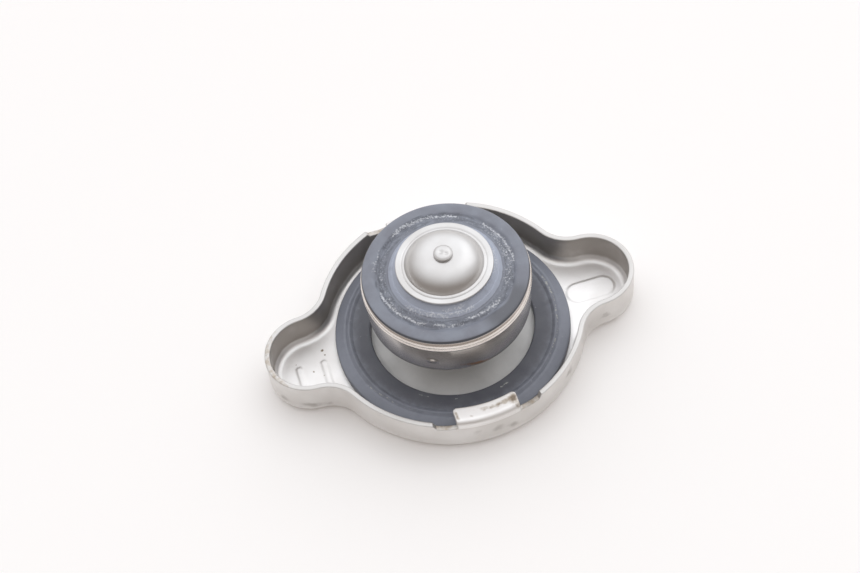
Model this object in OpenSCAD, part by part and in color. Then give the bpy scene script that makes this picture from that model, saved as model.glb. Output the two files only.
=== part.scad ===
// Bayonet radiator cap with two finger ears, lying on its crown with the valve side up.
// All sizes are in millimetres. The origin is on the cap's axis, on the crown's outer face,
// +X runs along the ears and +Z points out of the open side, along the valve's stroke.

/* [Cap shell] */
// Outside diameter of the round skirt
body_d = 44.6; // [43:0.1:47]
// Length over the tips of the two ears
ear_span = 63.5; // [60:0.1:68]
// Radius of an ear's tip
ear_r = 7.3; // [6.5:0.1:8.5]
// Radius of the hollow blend between the skirt and an ear
ear_blend_r = 5.8; // [4.5:0.1:8]
// Height of the skirt, from the crown's face to the rim
skirt_h = 7.1; // [6.5:0.1:8.5]
// Thickness of the pressed sheet
sheet_t = 0.9; // [0.7:0.05:1.1]
// Outside radius of the bend between crown and skirt
bend_r = 1.4; // [1.2:0.05:1.8]
// Diameter of the flat floor of the recess in the crown
recess_d = 12; // [10.5:0.1:13]
// Depth of the recess in the crown
recess_h = 1.3; // [1.2:0.05:1.6]

/* [Ear marks] */
// Width of the plain pressed bars on one ear
bar_w = 1.2; // [0.8:0.1:2]
// Length of the plain pressed bars
bar_len = 5.2; // [4:0.1:6]
// Distance between the two bars
bar_gap = 4.3; // [3:0.1:5]
// Distance of the bars' middle from the line through both ears
bar_offset = 1.1; // [0:0.1:1.5]
// Width of the plain pressed pad on the other ear
pad_w = 3.9; // [3:0.1:4.6]
// Length of the plain pressed pad, along the ears
pad_len = 8.3; // [7:0.1:9]
// Height that the marks are pressed up
mark_h = 0.2; // [0.1:0.05:0.4]

/* [Cam tabs] */
// Width of a cam tab
tab_w = 10.6; // [9:0.1:12]
// Reach of a tab in from the outside of the skirt
tab_len = 3.6; // [3.3:0.1:4.1]
// Inside radius of the fold between skirt and tab
tab_fold_r = 0.15; // [0.05:0.05:0.5]
// Radius of a tab's two free corners
tab_corner_r = 0.9; // [0.5:0.1:1.2]
// Width of the relief notch on each side of a tab
notch_w = 3.7; // [3:0.1:4.5]
// Width of the notch's level floor beside the tab
notch_floor_w = 1.2; // [0.8:0.1:2]
// Height of the step at the notch's far end
notch_step = 0.75; // [0.4:0.05:1]
// Depth of the notch below the fold
notch_relief = 0.35; // [0.2:0.05:0.6]

/* [Crown rivet] */
// Diameter of the rivet's shank
rivet_d = 4; // [3.5:0.1:4.5]
// Diameter of the rivet's outer head
rivet_head_d = 8; // [7:0.1:9]
// Height of the rivet's outer head
rivet_head_h = 0.9; // [0.7:0.05:1]
// Diameter of the upset tail inside the cage
rivet_tail_d = 6.6; // [6:0.1:7.5]
// Height of the upset tail
rivet_tail_h = 0.9; // [0.6:0.05:1.2]
// Width of the chamfer round both rivet heads
rivet_chamfer = 0.3; // [0.1:0.05:0.4]

/* [Friction plate] */
// Width of the plate's edge that the gasket laps over
plate_lap = 3.45; // [2.5:0.05:4]
// Thickness of the friction plate
plate_t = 0.5; // [0.4:0.05:0.7]

/* [Upper gasket] */
// Room between the gasket and the inside of the skirt
gasket_room = 1.75; // [1.5:0.05:2.5]
// Width of the gasket, from its hole to its outer edge
gasket_w = 5.9; // [5:0.1:6.3]
// Height of the gasket above the crown's floor
gasket_h = 2.1; // [1.8:0.05:2.4]
// Distance from the gasket's outer edge to its sealing ridge
ridge_inset = 2.3; // [1.8:0.1:2.8]
// Radius of the sealing ridge
ridge_r = 0.35; // [0.2:0.05:0.5]
// Width of the sloping outer border of the gasket
border_w = 1.5; // [1:0.1:1.7]
// Drop of the sloping outer border
border_drop = 0.6; // [0.3:0.05:0.8]

/* [Spring cage] */
// Thickness of the cage's sheet
cage_t = 0.8; // [0.6:0.05:0.9]
// Height of the cage, base to the top of its brim
cage_h = 7.15; // [6.8:0.05:7.6]
// Inside radius of the cage's bends
cage_bend_r = 0.6; // [0.3:0.1:0.9]

/* [Main spring] */
// Wire diameter of the main spring
main_wire_d = 1.4; // [1.2:0.05:1.5]
// Stroke of the plunger that the main spring allows
plunger_stroke = 4.5; // [3.5:0.1:5]

/* [Plunger cup] */
// Outside diameter of the cup's wall
cup_d = 27; // [26.2:0.1:27]
// Height of the cup, lip to the top of the rolled rim
cup_h = 9.7; // [9.3:0.1:10.5]
// Thickness of the cup's sheet
cup_t = 0.7; // [0.6:0.05:0.75]
// Outside radius of the curl at the cup's lower lip
lip_bend_r = 2.6; // [2.2:0.1:2.7]
// Radius of the rolled rim's edges
rim_bead_r = 1; // [0.95:0.05:1.15]
// Height of the straight band round the rolled rim
rim_band_h = 0.5; // [0.4:0.05:0.8]
// Distance from the cup's wall in to the middle of the rolled rim
rim_bead_inset = 0.65; // [0.5:0.05:0.75]
// Radius of the fine seam line round the rolled rim
seam_r = 0.15; // [0.1:0.05:0.25]

/* [Valve plate] */
// Thickness of the valve plate
valve_plate_t = 0.5; // [0.4:0.02:0.5]

/* [Lower seal] */
// Outside diameter of the lower seal
seal_d = 27.2; // [26.8:0.1:27.6]
// Height of the lower seal's flat face above the rolled rim
seal_proud = 0.75; // [0.5:0.05:1]
// Rounding of the seal's outer edge
seal_edge_r = 0.6; // [0.4:0.05:0.65]
// Diameter of the ring that the neck seat has worn
wear_d = 21.9; // [21.4:0.1:23]
// Radius of the worn ring's hollow
wear_r = 0.9; // [0.6:0.1:1.2]
// Depth of the worn ring
wear_depth = 0.3; // [0.15:0.05:0.4]
// Height of the collar round the vacuum seat above the seal's flat face
collar_h = 0.6; // [0.4:0.05:0.9]
// Width of the collar's level top
collar_w = 0.8; // [0.6:0.1:1]
// Height of the vacuum seat's lip above the seal's flat face
seat_h = 1.5; // [1.2:0.05:1.8]
// Width of the vacuum seat's lip
seat_w = 0.8; // [0.6:0.05:1]
// Thickness of the rubber under the ferrule's flange
seal_web_t = 1; // [0.8:0.05:1.2]

/* [Seal ferrule] */
// Thickness of the ferrule's sheet
ferrule_t = 0.4; // [0.3:0.05:0.5]
// Width of the ferrule's flange over the rubber
ferrule_flange_w = 1; // [0.7:0.05:1.2]
// Width of the swaged collar under the valve plate
swage_w = 0.4; // [0.3:0.05:0.5]
// Height of the swaged collar
swage_h = 0.5; // [0.3:0.05:0.7]
// Distance from the valve plate down to the ferrule's floor
ferrule_drop = 1.3; // [1.1:0.05:1.6]
// Number of vent holes in the ferrule's floor
vent_count = 4; // [3:1:6]
// Diameter of a vent hole
vent_d = 1.3; // [1:0.05:1.4]

/* [Vacuum valve] */
// Diameter of the vacuum valve's disc
disc_d = 15.8; // [15.4:0.1:16.2]
// Thickness of the vacuum valve's sheet
disc_t = 0.6; // [0.5:0.05:0.7]
// Overhang of the disc past the rubber lip that it sits on
disc_overhang = 0.3; // [0.2:0.05:0.4]
// Width of the flat border round the dome
disc_border_w = 1.5; // [1.2:0.1:1.8]
// Height of the dome above the flat border
dome_h = 2.3; // [2:0.1:2.7]
// Radius of the dome's shoulder
dome_shoulder_r = 4; // [3.4:0.1:4.6]

/* [Vacuum stem] */
// Diameter of the stem
stem_d = 2; // [1.8:0.1:2.2]
// Diameter of the stem's formed head
stem_head_d = 3.1; // [2.7:0.1:3.5]
// Height of the stem's formed head
stem_head_h = 0.7; // [0.5:0.05:0.9]
// Diameter of the peened tail under the washer
stem_tail_d = 2.8; // [2.5:0.1:3]
// Height of the peened tail
stem_tail_h = 0.5; // [0.3:0.05:0.7]
// Diameter of the washer on the stem's inner end
washer_d = 6.4; // [5.8:0.1:7]
// Thickness of the washer
washer_t = 0.5; // [0.4:0.05:0.7]

/* [Vacuum spring] */
// Wire diameter of the vacuum spring
vacuum_wire_d = 0.4; // [0.3:0.02:0.44]
// Length of the vacuum spring as fitted
vacuum_spring_len = 4; // [3.8:0.1:4.2]
// Lift of the vacuum valve that its spring allows
vacuum_lift = 1.8; // [1.4:0.1:2]

/* [Fits] */
// Radial clearance of the shell on the rivet, and of the stem in the ferrule
running_gap = 0.05; // [0.02:0.01:0.1]
// Clearance between faces that turn or lift against each other
face_gap = 0.05; // [0.03:0.01:0.1]
// Clearance between pieces that are clamped together
assembly_gap = 0.02; // [0.01:0.01:0.05]
// Rest gap between the cup's lip and the cage's brim, and under the vacuum disc
stop_gap = 0.1; // [0.05:0.01:0.2]
// Radial room for a coil spring beside the wall that guides it
coil_gap = 0.3; // [0.2:0.05:0.5]
// Radial room outside the main spring in the cage
cage_room = 0.7; // [0.4:0.05:0.8]
// Radial room between the cage and the cup's lip
lip_room = 1.5; // [1:0.1:1.6]
// Width of the cage's brim past the start of the lip's curl
brim_reach = 0.3; // [0.1:0.05:0.3]
// Radial room between the ferrule's flange and the lip of the vacuum seat
flange_room = 0.6; // [0.4:0.05:0.8]

/* [Hidden] */
$fn = 120;

// Cut that passes a face by a little, so that no skin is left
over = 0.5;
// Thickness share by which a sheet's faces shift at a 45 degree crease
crease = tan(22.5);

// Plan of the shell: three arcs that run into one another
body_r = body_d / 2;
ear_x = ear_span / 2 - ear_r;
body_reach = body_r + ear_blend_r;
ear_reach = ear_r + ear_blend_r;
blend_x = (body_reach * body_reach - ear_reach * ear_reach + ear_x * ear_x) / (2 * ear_x);
blend_y = sqrt(body_reach * body_reach - blend_x * blend_x);
// Bite of the blend into the arcs beside it, so that they cross and don't only touch
blend_bite = 0.02;

// Recess of the crown, gasket and plate, and the cam tabs
recess_r = recess_d / 2;
boss_top = recess_h + sheet_t;
gasket_r = body_r - sheet_t - gasket_room;
gasket_hole_r = gasket_r - gasket_w;
plate_r = gasket_hole_r + plate_lap;
tab_reach = body_r - tab_len;
fold_r = sheet_t + tab_fold_r;
notch_z = skirt_h - fold_r - notch_relief;
notch_end = tab_w / 2 + notch_w;
wall_y = sqrt(pow(body_r - sheet_t, 2) - notch_end * notch_end);

// Levels of the stack on the crown, from the crown up
floor_z = sheet_t + face_gap;
plate_top = floor_z + plate_t;
pad_z = boss_top + face_gap;
cage_base = pad_z + plate_t + assembly_gap;
cage_floor = cage_base + cage_t;
brim_top = cage_base + cage_h;
lip_top = brim_top - cage_t - stop_gap;
lip_z = lip_top - cup_t;
rim_top = lip_z + cup_h;
bead_z = rim_top - rim_bead_r;
bead_low = bead_z - rim_band_h;
valve_plate_z = bead_z - valve_plate_t / 2;
valve_plate_top = valve_plate_z + valve_plate_t;
seal_top = rim_top + seal_proud;
seat_top = seal_top + seat_h;
disc_z = seat_top + stop_gap;
dome_top = disc_z + disc_t + dome_h;
flange_z = valve_plate_top + assembly_gap + seal_web_t;
ferrule_z = valve_plate_z - ferrule_drop;
washer_top = ferrule_z - vacuum_spring_len;
washer_z = washer_top - washer_t;

// Radii of the valve, from the vacuum disc inwards and then out to the cup
disc_r = disc_d / 2;
seat_outer_r = disc_r - disc_overhang;
seat_inner_r = seat_outer_r - seat_w;
flange_r = seat_inner_r - flange_room;
ferrule_r = flange_r - ferrule_flange_w;
swage_r = ferrule_r + swage_w;
main_coil_r = swage_r + coil_gap + main_wire_d / 2;
cage_inner_r = main_coil_r + main_wire_d / 2 + cage_room;
cage_r = cage_inner_r + cage_t;
lip_r = cage_r + lip_room;
cup_r = cup_d / 2;
lip_curl_r = cup_r - lip_bend_r;
brim_r = lip_curl_r + brim_reach;
bead_x = cup_r - rim_bead_inset;
rim_inner_r = bead_x - rim_bead_r;
stem_r = stem_d / 2;
guide_r = stem_r + running_gap;
vacuum_coil_r = guide_r + coil_gap + vacuum_wire_d / 2;
// The vents lie midway between the vacuum spring and the ferrule's wall
vent_x = (vacuum_coil_r + vacuum_wire_d / 2 + ferrule_r - ferrule_t) / 2;

// Springs: whole turns that leave room for the stroke
main_spring_z = cage_floor + assembly_gap;
main_spring_len = valve_plate_z - face_gap - main_spring_z;
main_turns = floor((main_spring_len - plunger_stroke) / main_wire_d) - 1;
vacuum_turns = floor((vacuum_spring_len - vacuum_lift) / vacuum_wire_d) - 1;
// Facets of a spring: rings in one turn, and sides of the wire
steps_per_turn = 24;
wire_sides = 10;
// Pitch of the closed end turns, in wire diameters
end_pitch = 1.03;

// Two-dimensional shapes

// Ring section from one radius to another, between two levels
module band(inner, outer, low, high) {
    translate([inner, low]) square([outer - inner, high - low]);
}

// Quarter of a bent sheet: quadrant [sx, sy] of a ring of the given outside radius
module quarter_bend(outside, thickness, sx, sy) {
    intersection() {
        difference() {
            circle(outside);
            circle(outside - thickness);
        }
        translate([sx < 0 ? -outside : 0, sy < 0 ? -outside : 0]) square(outside);
    }
}

// Obround of the given length and width, along Y
module obround(length, width) {
    straight = length - width;
    square([width, straight], center = true);
    for (end = [-1, 1]) translate([0, end * straight / 2]) circle(width / 2);
}

// Half section of a round pan, filled: level floor, rounded lower edge and upright side
module pan_section(radius, bend, height) {
    band(0, radius, bend, height);
    band(0, radius - bend, 0, bend);
    translate([radius - bend, bend]) quarter_bend(bend, bend, 1, -1);
}

// Half section of the spool that hollows out a blend: its foot flares to meet the pan's edge
module spool_section(radius, bend, height) {
    band(0, radius, -over, height);
    difference() {
        band(0, radius + bend, -over, bend);
        translate([radius + bend, bend]) circle(bend);
    }
}

// Swept shapes

// Filled pan with the shell's plan, set in from the outside by a distance
module pan(inset, bend, height) {
    rotate_extrude() pan_section(body_r - inset, bend, height);
    for (side = [-1, 1]) {
        translate([side * ear_x, 0]) rotate_extrude() pan_section(ear_r - inset, bend, height);
        for (half = [-1, 1]) difference() {
            linear_extrude(height)
                polygon([[0, 0], [side * blend_x, half * blend_y], [side * ear_x, 0]]);
            translate([side * blend_x, half * blend_y]) rotate_extrude()
                spool_section(ear_blend_r + inset + blend_bite, bend, height + over);
        }
    }
}

// Coil spring that stands on its seat, with one closed turn at each end
module coil_spring(coil_r, wire_d, length, turns) {
    wire_r = wire_d / 2;
    rings = turns * steps_per_turn;
    closed_rise = wire_d * end_pitch;
    rise = length - wire_d;
    pitch = (rise - 2 * closed_rise) / (turns - 2);
    function level(turn) = turn < 1 ? closed_rise * turn
        : turn > turns - 1 ? rise - closed_rise * (turns - turn)
        : closed_rise + pitch * (turn - 1);
    points = [
        for (ring = [0 : rings], side = [0 : wire_sides - 1])
            let (turn = ring / steps_per_turn, tilt = 360 * side / wire_sides,
                 reach = coil_r + wire_r * cos(tilt))
            [reach * cos(360 * turn), reach * sin(360 * turn), wire_r + level(turn) + wire_r * sin(tilt)]
    ];
    skin = [
        for (ring = [0 : rings - 1], side = [0 : wire_sides - 1])
            let (next = (side + 1) % wire_sides, a = ring * wire_sides, b = a + wire_sides)
            each [[a + side, b + side, b + next], [a + side, b + next, a + next]]
    ];
    first_end = [for (side = [0 : wire_sides - 1]) side];
    last_end = [for (side = [wire_sides - 1 : -1 : 0]) rings * wire_sides + side];
    polyhedron(points, concat(skin, [first_end, last_end]));
}

// Cap shell

// Pressed pan of even thickness, before the tabs and the recess
module shell_blank() {
    difference() {
        pan(0, bend_r, skirt_h);
        translate([0, 0, sheet_t]) pan(sheet_t, bend_r - sheet_t, skirt_h);
    }
}

// Window in the skirt that leaves room for a tab and its two relief notches
module tab_window() {
    floor_end = tab_w / 2 + notch_floor_w;
    high = skirt_h + over;
    translate([0, -wall_y + over, 0]) rotate([90, 0, 0]) linear_extrude(body_r - wall_y + 2 * over)
        polygon([
            [-notch_end, high], [-notch_end, skirt_h - notch_step], [-floor_end, notch_z],
            [floor_end, notch_z], [notch_end, skirt_h - notch_step], [notch_end, high]
        ]);
}

// Plan of a tab: its inner edge is an arc about the axis, with rounded corners
module tab_plan() {
    half = tab_w / 2;
    corner_x = half - tab_corner_r;
    corner_y = -sqrt(pow(tab_reach + tab_corner_r, 2) - corner_x * corner_x);
    inward = (tab_reach - over) / (tab_reach + tab_corner_r);
    difference() {
        translate([-half, -body_r - over]) square([tab_w, body_r]);
        circle(tab_reach);
        for (side = [-1, 1]) difference() {
            polygon([
                [side * corner_x, corner_y], [side * (half + over), corner_y],
                [side * (half + over), inward * corner_y], [side * inward * corner_x, inward * corner_y]
            ]);
            translate([side * corner_x, corner_y]) circle(tab_corner_r + blend_bite);
        }
    }
}

// Cam tab: the top of the skirt folded in
module cam_tab() {
    fold_x = body_r - fold_r;
    fold_z = skirt_h - fold_r;
    intersection() {
        rotate_extrude() {
            band(body_r - sheet_t, body_r, notch_z, fold_z);
            translate([fold_x, fold_z]) quarter_bend(fold_r, sheet_t, 1, 1);
            band(tab_reach - over, fold_x, skirt_h - sheet_t, skirt_h);
        }
        linear_extrude(skirt_h + over) tab_plan();
    }
}

// Plain marks pressed into the ears: two bars on one, a pad on the other
module ear_marks() {
    for (side = [-1, 1]) translate([-ear_x + side * bar_gap / 2, -bar_offset]) obround(bar_len, bar_w);
    translate([ear_x, 0]) rotate(90) obround(pad_len, pad_w);
}

module cap_shell() {
    boss_r = recess_r - crease * sheet_t;
    color("#c9c6c2") difference() {
        union() {
            difference() {
                shell_blank();
                for (turn = [0, 180]) rotate(turn) tab_window();
            }
            for (turn = [0, 180]) rotate(turn) cam_tab();
            translate([0, 0, sheet_t]) cylinder(h = recess_h, r1 = boss_r + recess_h, r2 = boss_r);
            translate([0, 0, sheet_t]) linear_extrude(mark_h) ear_marks();
        }
        translate([0, 0, -over])
            cylinder(h = recess_h + over, r1 = recess_r + recess_h + over, r2 = recess_r);
        cylinder(h = boss_top + over, r = rivet_d / 2 + running_gap);
        translate([0, 0, -over]) linear_extrude(mark_h + over) ear_marks();
    }
}

// Crown rivet: head in the crown's recess, tail upset over the cage's floor
module crown_rivet() {
    head_r = rivet_head_d / 2;
    tail_r = rivet_tail_d / 2;
    shank_r = rivet_d / 2;
    head_top = recess_h - face_gap;
    head_z = head_top - rivet_head_h;
    tail_z = cage_floor + assembly_gap;
    tail_top = tail_z + rivet_tail_h;
    color("#b4b3b1") rotate_extrude() polygon([
        [0, head_z], [head_r - rivet_chamfer, head_z], [head_r, head_z + rivet_chamfer],
        [head_r, head_top], [shank_r, head_top], [shank_r, tail_z], [tail_r, tail_z],
        [tail_r, tail_top - rivet_chamfer], [tail_r - rivet_chamfer, tail_top], [0, tail_top]
    ]);
}

// Friction plate: thin disc that is dished up over the boss of the crown
module friction_plate() {
    hole_r = rivet_d / 2 + assembly_gap;
    drop = pad_z - floor_z;
    shift = crease * plate_t;
    pad_r = recess_r;
    color("#b9b8b5") rotate_extrude() polygon([
        [hole_r, pad_z], [pad_r, pad_z], [pad_r + drop, floor_z], [plate_r, floor_z],
        [plate_r, plate_top], [pad_r + drop + shift, plate_top], [pad_r + shift, pad_z + plate_t],
        [hole_r, pad_z + plate_t]
    ]);
}

// Upper gasket: rubber ring that laps over the edge of the friction plate
module upper_gasket() {
    top = sheet_t + gasket_h;
    border_x = gasket_r - border_w;
    color("#676b75") rotate_extrude() {
        difference() {
            band(gasket_hole_r, gasket_r, floor_z, top);
            band(gasket_hole_r - over, plate_r + assembly_gap, floor_z - over, plate_top + assembly_gap);
            polygon([
                [border_x, top], [gasket_r, top - border_drop], [gasket_r + over, top - border_drop],
                [gasket_r + over, top + over], [border_x, top + over]
            ]);
        }
        translate([gasket_r - ridge_inset, top]) circle(ridge_r);
    }
}

// Spring cage: drawn cup with a brim that holds the plunger
module spring_cage() {
    outside = cage_bend_r + cage_t;
    color("#a9a7a3") rotate_extrude() {
        band(rivet_d / 2 + assembly_gap, cage_r - outside, cage_base, cage_floor);
        translate([cage_r - outside, cage_base + outside]) quarter_bend(outside, cage_t, 1, -1);
        band(cage_inner_r, cage_r, cage_base + outside, brim_top - outside);
        translate([cage_inner_r + outside, brim_top - outside]) quarter_bend(outside, cage_t, -1, 1);
        band(cage_inner_r + outside, brim_r, brim_top - cage_t, brim_top);
    }
}

module main_spring() {
    color("#8f8f8e") translate([0, 0, main_spring_z])
        coil_spring(main_coil_r, main_wire_d, main_spring_len, main_turns);
}

// Plunger cup: curled lip below, wall, and a rim rolled over the valve plate's edge
module plunger_cup() {
    grip = valve_plate_t / 2 + assembly_gap;
    color("#a39b93") rotate_extrude() {
        band(lip_r, lip_curl_r, lip_z, lip_top);
        translate([lip_curl_r, lip_z + lip_bend_r]) quarter_bend(lip_bend_r, cup_t, 1, -1);
        difference() {
            union() {
                band(cup_r - cup_t, cup_r, lip_z + lip_bend_r, bead_z);
                band(rim_inner_r, bead_x + rim_bead_r, bead_low, bead_z);
                for (side = [-1, 1]) {
                    translate([bead_x, bead_z]) quarter_bend(rim_bead_r, rim_bead_r, side, 1);
                    translate([bead_x, bead_low]) quarter_bend(rim_bead_r, rim_bead_r, side, -1);
                }
            }
            band(rim_inner_r - over, bead_x + grip, bead_z - grip, bead_z + grip);
            translate([bead_x + rim_bead_r, (bead_low + bead_z) / 2]) circle(seam_r);
        }
    }
}

// Valve plate: disc gripped by the rolled rim
module valve_plate() {
    color("#b0aeaa") rotate_extrude()
        band(ferrule_r + assembly_gap, bead_x, valve_plate_z, valve_plate_top);
}

// Lower seal: rubber disc with a worn ring, a collar and the lip of the vacuum seat
module lower_seal() {
    seal_r = seal_d / 2;
    head_z = rim_top + assembly_gap;
    hole_r = ferrule_r + assembly_gap;
    base_z = valve_plate_top + assembly_gap;
    collar_top = seal_top + collar_h;
    collar_r = seat_outer_r + disc_overhang + collar_w;
    color("#7b7f88") rotate_extrude() difference() {
        union() {
            band(hole_r, rim_inner_r - assembly_gap, base_z, head_z);
            band(hole_r, seal_r - seal_edge_r, head_z, seal_top);
            band(seal_r - 2 * seal_edge_r, seal_r, head_z, seal_top - seal_edge_r);
            translate([seal_r - seal_edge_r, seal_top - seal_edge_r])
                quarter_bend(seal_edge_r, seal_edge_r, 1, 1);
            polygon([[hole_r, head_z], [collar_r + collar_h, seal_top], [collar_r, collar_top],
                     [hole_r, collar_top]]);
            polygon([[seat_inner_r, head_z], [seat_outer_r + seat_h - collar_h, collar_top],
                     [seat_outer_r, seat_top], [seat_inner_r, seat_top]]);
        }
        band(0, seat_inner_r, flange_z, seat_top + over);
        translate([wear_d / 2, seal_top - wear_depth + wear_r]) circle(wear_r);
    }
}

// Seal ferrule: flanged eyelet, swaged under the valve plate, with a vented floor
module seal_ferrule() {
    inner = ferrule_r - ferrule_t;
    flange_low = flange_z + assembly_gap;
    color("#c2bfb8") difference() {
        rotate_extrude() {
            band(inner, flange_r, flange_low, flange_low + ferrule_t);
            band(inner, ferrule_r, ferrule_z, flange_low + ferrule_t);
            band(guide_r, ferrule_r, ferrule_z, ferrule_z + ferrule_t);
            band(inner, swage_r, valve_plate_z - assembly_gap - swage_h, valve_plate_z - assembly_gap);
        }
        for (vent = [1 : vent_count]) rotate(360 * vent / vent_count)
            translate([vent_x, 0, ferrule_z - over]) cylinder(h = ferrule_t + 2 * over, d = vent_d);
    }
}

module vacuum_spring() {
    color("#9a9a98") translate([0, 0, washer_top + face_gap])
        coil_spring(vacuum_coil_r, vacuum_wire_d, vacuum_spring_len - 2 * face_gap, vacuum_turns);
}

// Section of the solid dome above a level, with a flat top and a round shoulder
module dome_section(level, shoulder, top, edge) {
    flat = edge - sqrt(shoulder * shoulder - pow(shoulder - top + level, 2));
    intersection() {
        union() {
            band(0, flat, level, top);
            translate([flat, top - shoulder]) circle(shoulder);
        }
        band(0, edge + over, level, top);
    }
}

// Vacuum valve: pressed disc with a flat border and a hollow dome
module vacuum_valve() {
    dome_r = disc_r - disc_border_w;
    border_top = disc_z + disc_t;
    shoulder = dome_shoulder_r;
    flat = dome_r - sqrt(shoulder * shoulder - pow(shoulder - dome_h, 2));
    inner_rise = shoulder - dome_h - disc_t;
    inner_r = flat + sqrt(pow(shoulder - disc_t, 2) - pow(inner_rise, 2));
    color("#dddcd9") rotate_extrude() difference() {
        union() {
            band(0, disc_r, disc_z, border_top);
            dome_section(border_top, shoulder, dome_top, dome_r);
        }
        dome_section(disc_z, shoulder - disc_t, dome_top - disc_t, inner_r);
        band(0, stem_r + assembly_gap, disc_z - over, dome_top + over);
    }
}

// Vacuum stem: pin with a formed head on the dome and a peened tail under the washer
module vacuum_stem() {
    head_r = stem_head_d / 2;
    cap_r = (head_r * head_r + stem_head_h * stem_head_h) / (2 * stem_head_h);
    head_z = dome_top + assembly_gap;
    tail_top = washer_z - assembly_gap;
    color("#d2d0cc") rotate_extrude() {
        band(0, stem_r, tail_top, head_z);
        band(0, stem_tail_d / 2, tail_top - stem_tail_h, tail_top);
        intersection() {
            translate([0, head_z + stem_head_h - cap_r]) circle(cap_r);
            band(0, head_r, head_z, head_z + stem_head_h);
        }
    }
}

// Stem washer: the vacuum spring pushes on it
module stem_washer() {
    color("#bdbbb7") rotate_extrude() band(stem_r + assembly_gap, washer_d / 2, washer_z, washer_top);
}

cap_shell();
crown_rivet();
friction_plate();
upper_gasket();
spring_cage();
main_spring();
plunger_cup();
valve_plate();
lower_seal();
seal_ferrule();
vacuum_spring();
vacuum_valve();
vacuum_stem();
stem_washer();
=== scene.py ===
"""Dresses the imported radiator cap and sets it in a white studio.

The cap lies on its crown with the valve side up. Sizes are in millimetres and become metres where a mesh is
made. Every new surface is a numpy grid: a profile spun about the cap's axis, a wire carried along a helix, or
a section carried along the outline of the pressed shell.
"""

import logging
import math
from dataclasses import dataclass, field
from enum import Enum

import bpy
import numpy as np
from mathutils import Matrix, Vector

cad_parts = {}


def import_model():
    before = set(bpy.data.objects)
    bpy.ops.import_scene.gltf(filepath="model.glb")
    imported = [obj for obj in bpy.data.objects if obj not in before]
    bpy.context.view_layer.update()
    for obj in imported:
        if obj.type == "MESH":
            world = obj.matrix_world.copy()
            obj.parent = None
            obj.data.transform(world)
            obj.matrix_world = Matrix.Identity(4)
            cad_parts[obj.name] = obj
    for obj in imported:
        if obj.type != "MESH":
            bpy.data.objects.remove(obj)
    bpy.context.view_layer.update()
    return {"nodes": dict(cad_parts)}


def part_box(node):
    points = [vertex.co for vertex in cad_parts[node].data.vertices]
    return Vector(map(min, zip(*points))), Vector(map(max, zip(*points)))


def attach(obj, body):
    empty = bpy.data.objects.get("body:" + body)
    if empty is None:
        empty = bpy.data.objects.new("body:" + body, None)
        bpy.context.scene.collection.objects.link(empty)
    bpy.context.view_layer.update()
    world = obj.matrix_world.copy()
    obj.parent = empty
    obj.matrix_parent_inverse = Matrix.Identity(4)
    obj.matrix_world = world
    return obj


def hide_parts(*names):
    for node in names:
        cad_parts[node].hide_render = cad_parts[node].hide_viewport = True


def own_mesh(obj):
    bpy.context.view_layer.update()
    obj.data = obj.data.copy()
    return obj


Array = np.ndarray
# Where something begins to show, and where it is full
Band = tuple[float, float]
# Height, number round the axis and phase of each wave
Waves = tuple[tuple[float, float, float], ...]
# Two coordinates, half width along each and strength of each spot
Spots = tuple[tuple[float, float, float, float, float], ...]
# First and last bearing in degrees, radius at each, half width in mm and strength of each ribbon
Arcs = tuple[tuple[float, float, float, float, float, float], ...]
LOG = logging.getLogger("radiator_cap")
MM = 0.001
# Columns of every spun surface
ROUND = 192
# Points closer than this, in mm, are one point
SAME_POINT = 1e-4
# Angle in degrees from which two faces meet in a sharp edge
SHARP_ANGLE = 38
# Distance of a hold point from its arc in mm, and the most that it takes of a straight stretch
HOLD = 0.12
HOLD_SHARE = 0.4
# Share of a ribbon's length over which its ends fade, and height in mm and number of its wavers
RIBBON_FADE = 0.12
RIBBON_WAVER = 0.07
RIBBON_WAVERS = 17


class Body(Enum):
    """Bodies of the frame that the pieces ride on."""

    CAP = "cap"
    CAGE = "cage"
    PLUNGER = "plunger"
    VACUUM = "vacuum"


class Slot(Enum):
    """Material slots of the record."""

    SHELL = "shell_steel"
    RIVET = "rivet_steel"
    PLATE = "plate_steel"
    GASKET = "gasket_rubber"
    SPRING = "spring_steel"
    CUP = "cup_steel"
    SEAL = "seal_rubber"
    VALVE = "valve_steel"


# Surfaces


@dataclass
class Surface:
    """A mesh in the making.

    Attributes:
        points: Places in mm, one per row.
        faces: Corner indices, one array for each number of corners.
        marks: Values per point, by name, that materials read.
    """

    points: Array
    faces: list[Array]
    marks: dict[str, Array] = field(default_factory=dict)

    def mesh(self, name: str) -> bpy.types.Mesh:
        """Makes the mesh, in metres, without the points that no face uses.

        Args:
            name: Name of the mesh.

        Returns:
            The smooth-shaded mesh, with sharp edges where faces meet steeply.
        """
        used = np.unique(np.concatenate([part.ravel() for part in self.faces]))
        place = np.zeros(len(self.points), int)
        place[used] = np.arange(len(used))
        corners = [corner for part in self.faces for corner in place[part].tolist()]
        mesh = bpy.data.meshes.new(name)
        mesh.from_pydata((self.points[used] * MM).tolist(), [], corners)
        for label, values in self.marks.items():
            layer = mesh.attributes.new(label, "FLOAT", "POINT")
            layer.data.foreach_set("value", values[used].astype(np.float32))
        mesh.shade_smooth()
        mesh.set_sharp_from_angle(angle=math.radians(SHARP_ANGLE))
        return mesh


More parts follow.
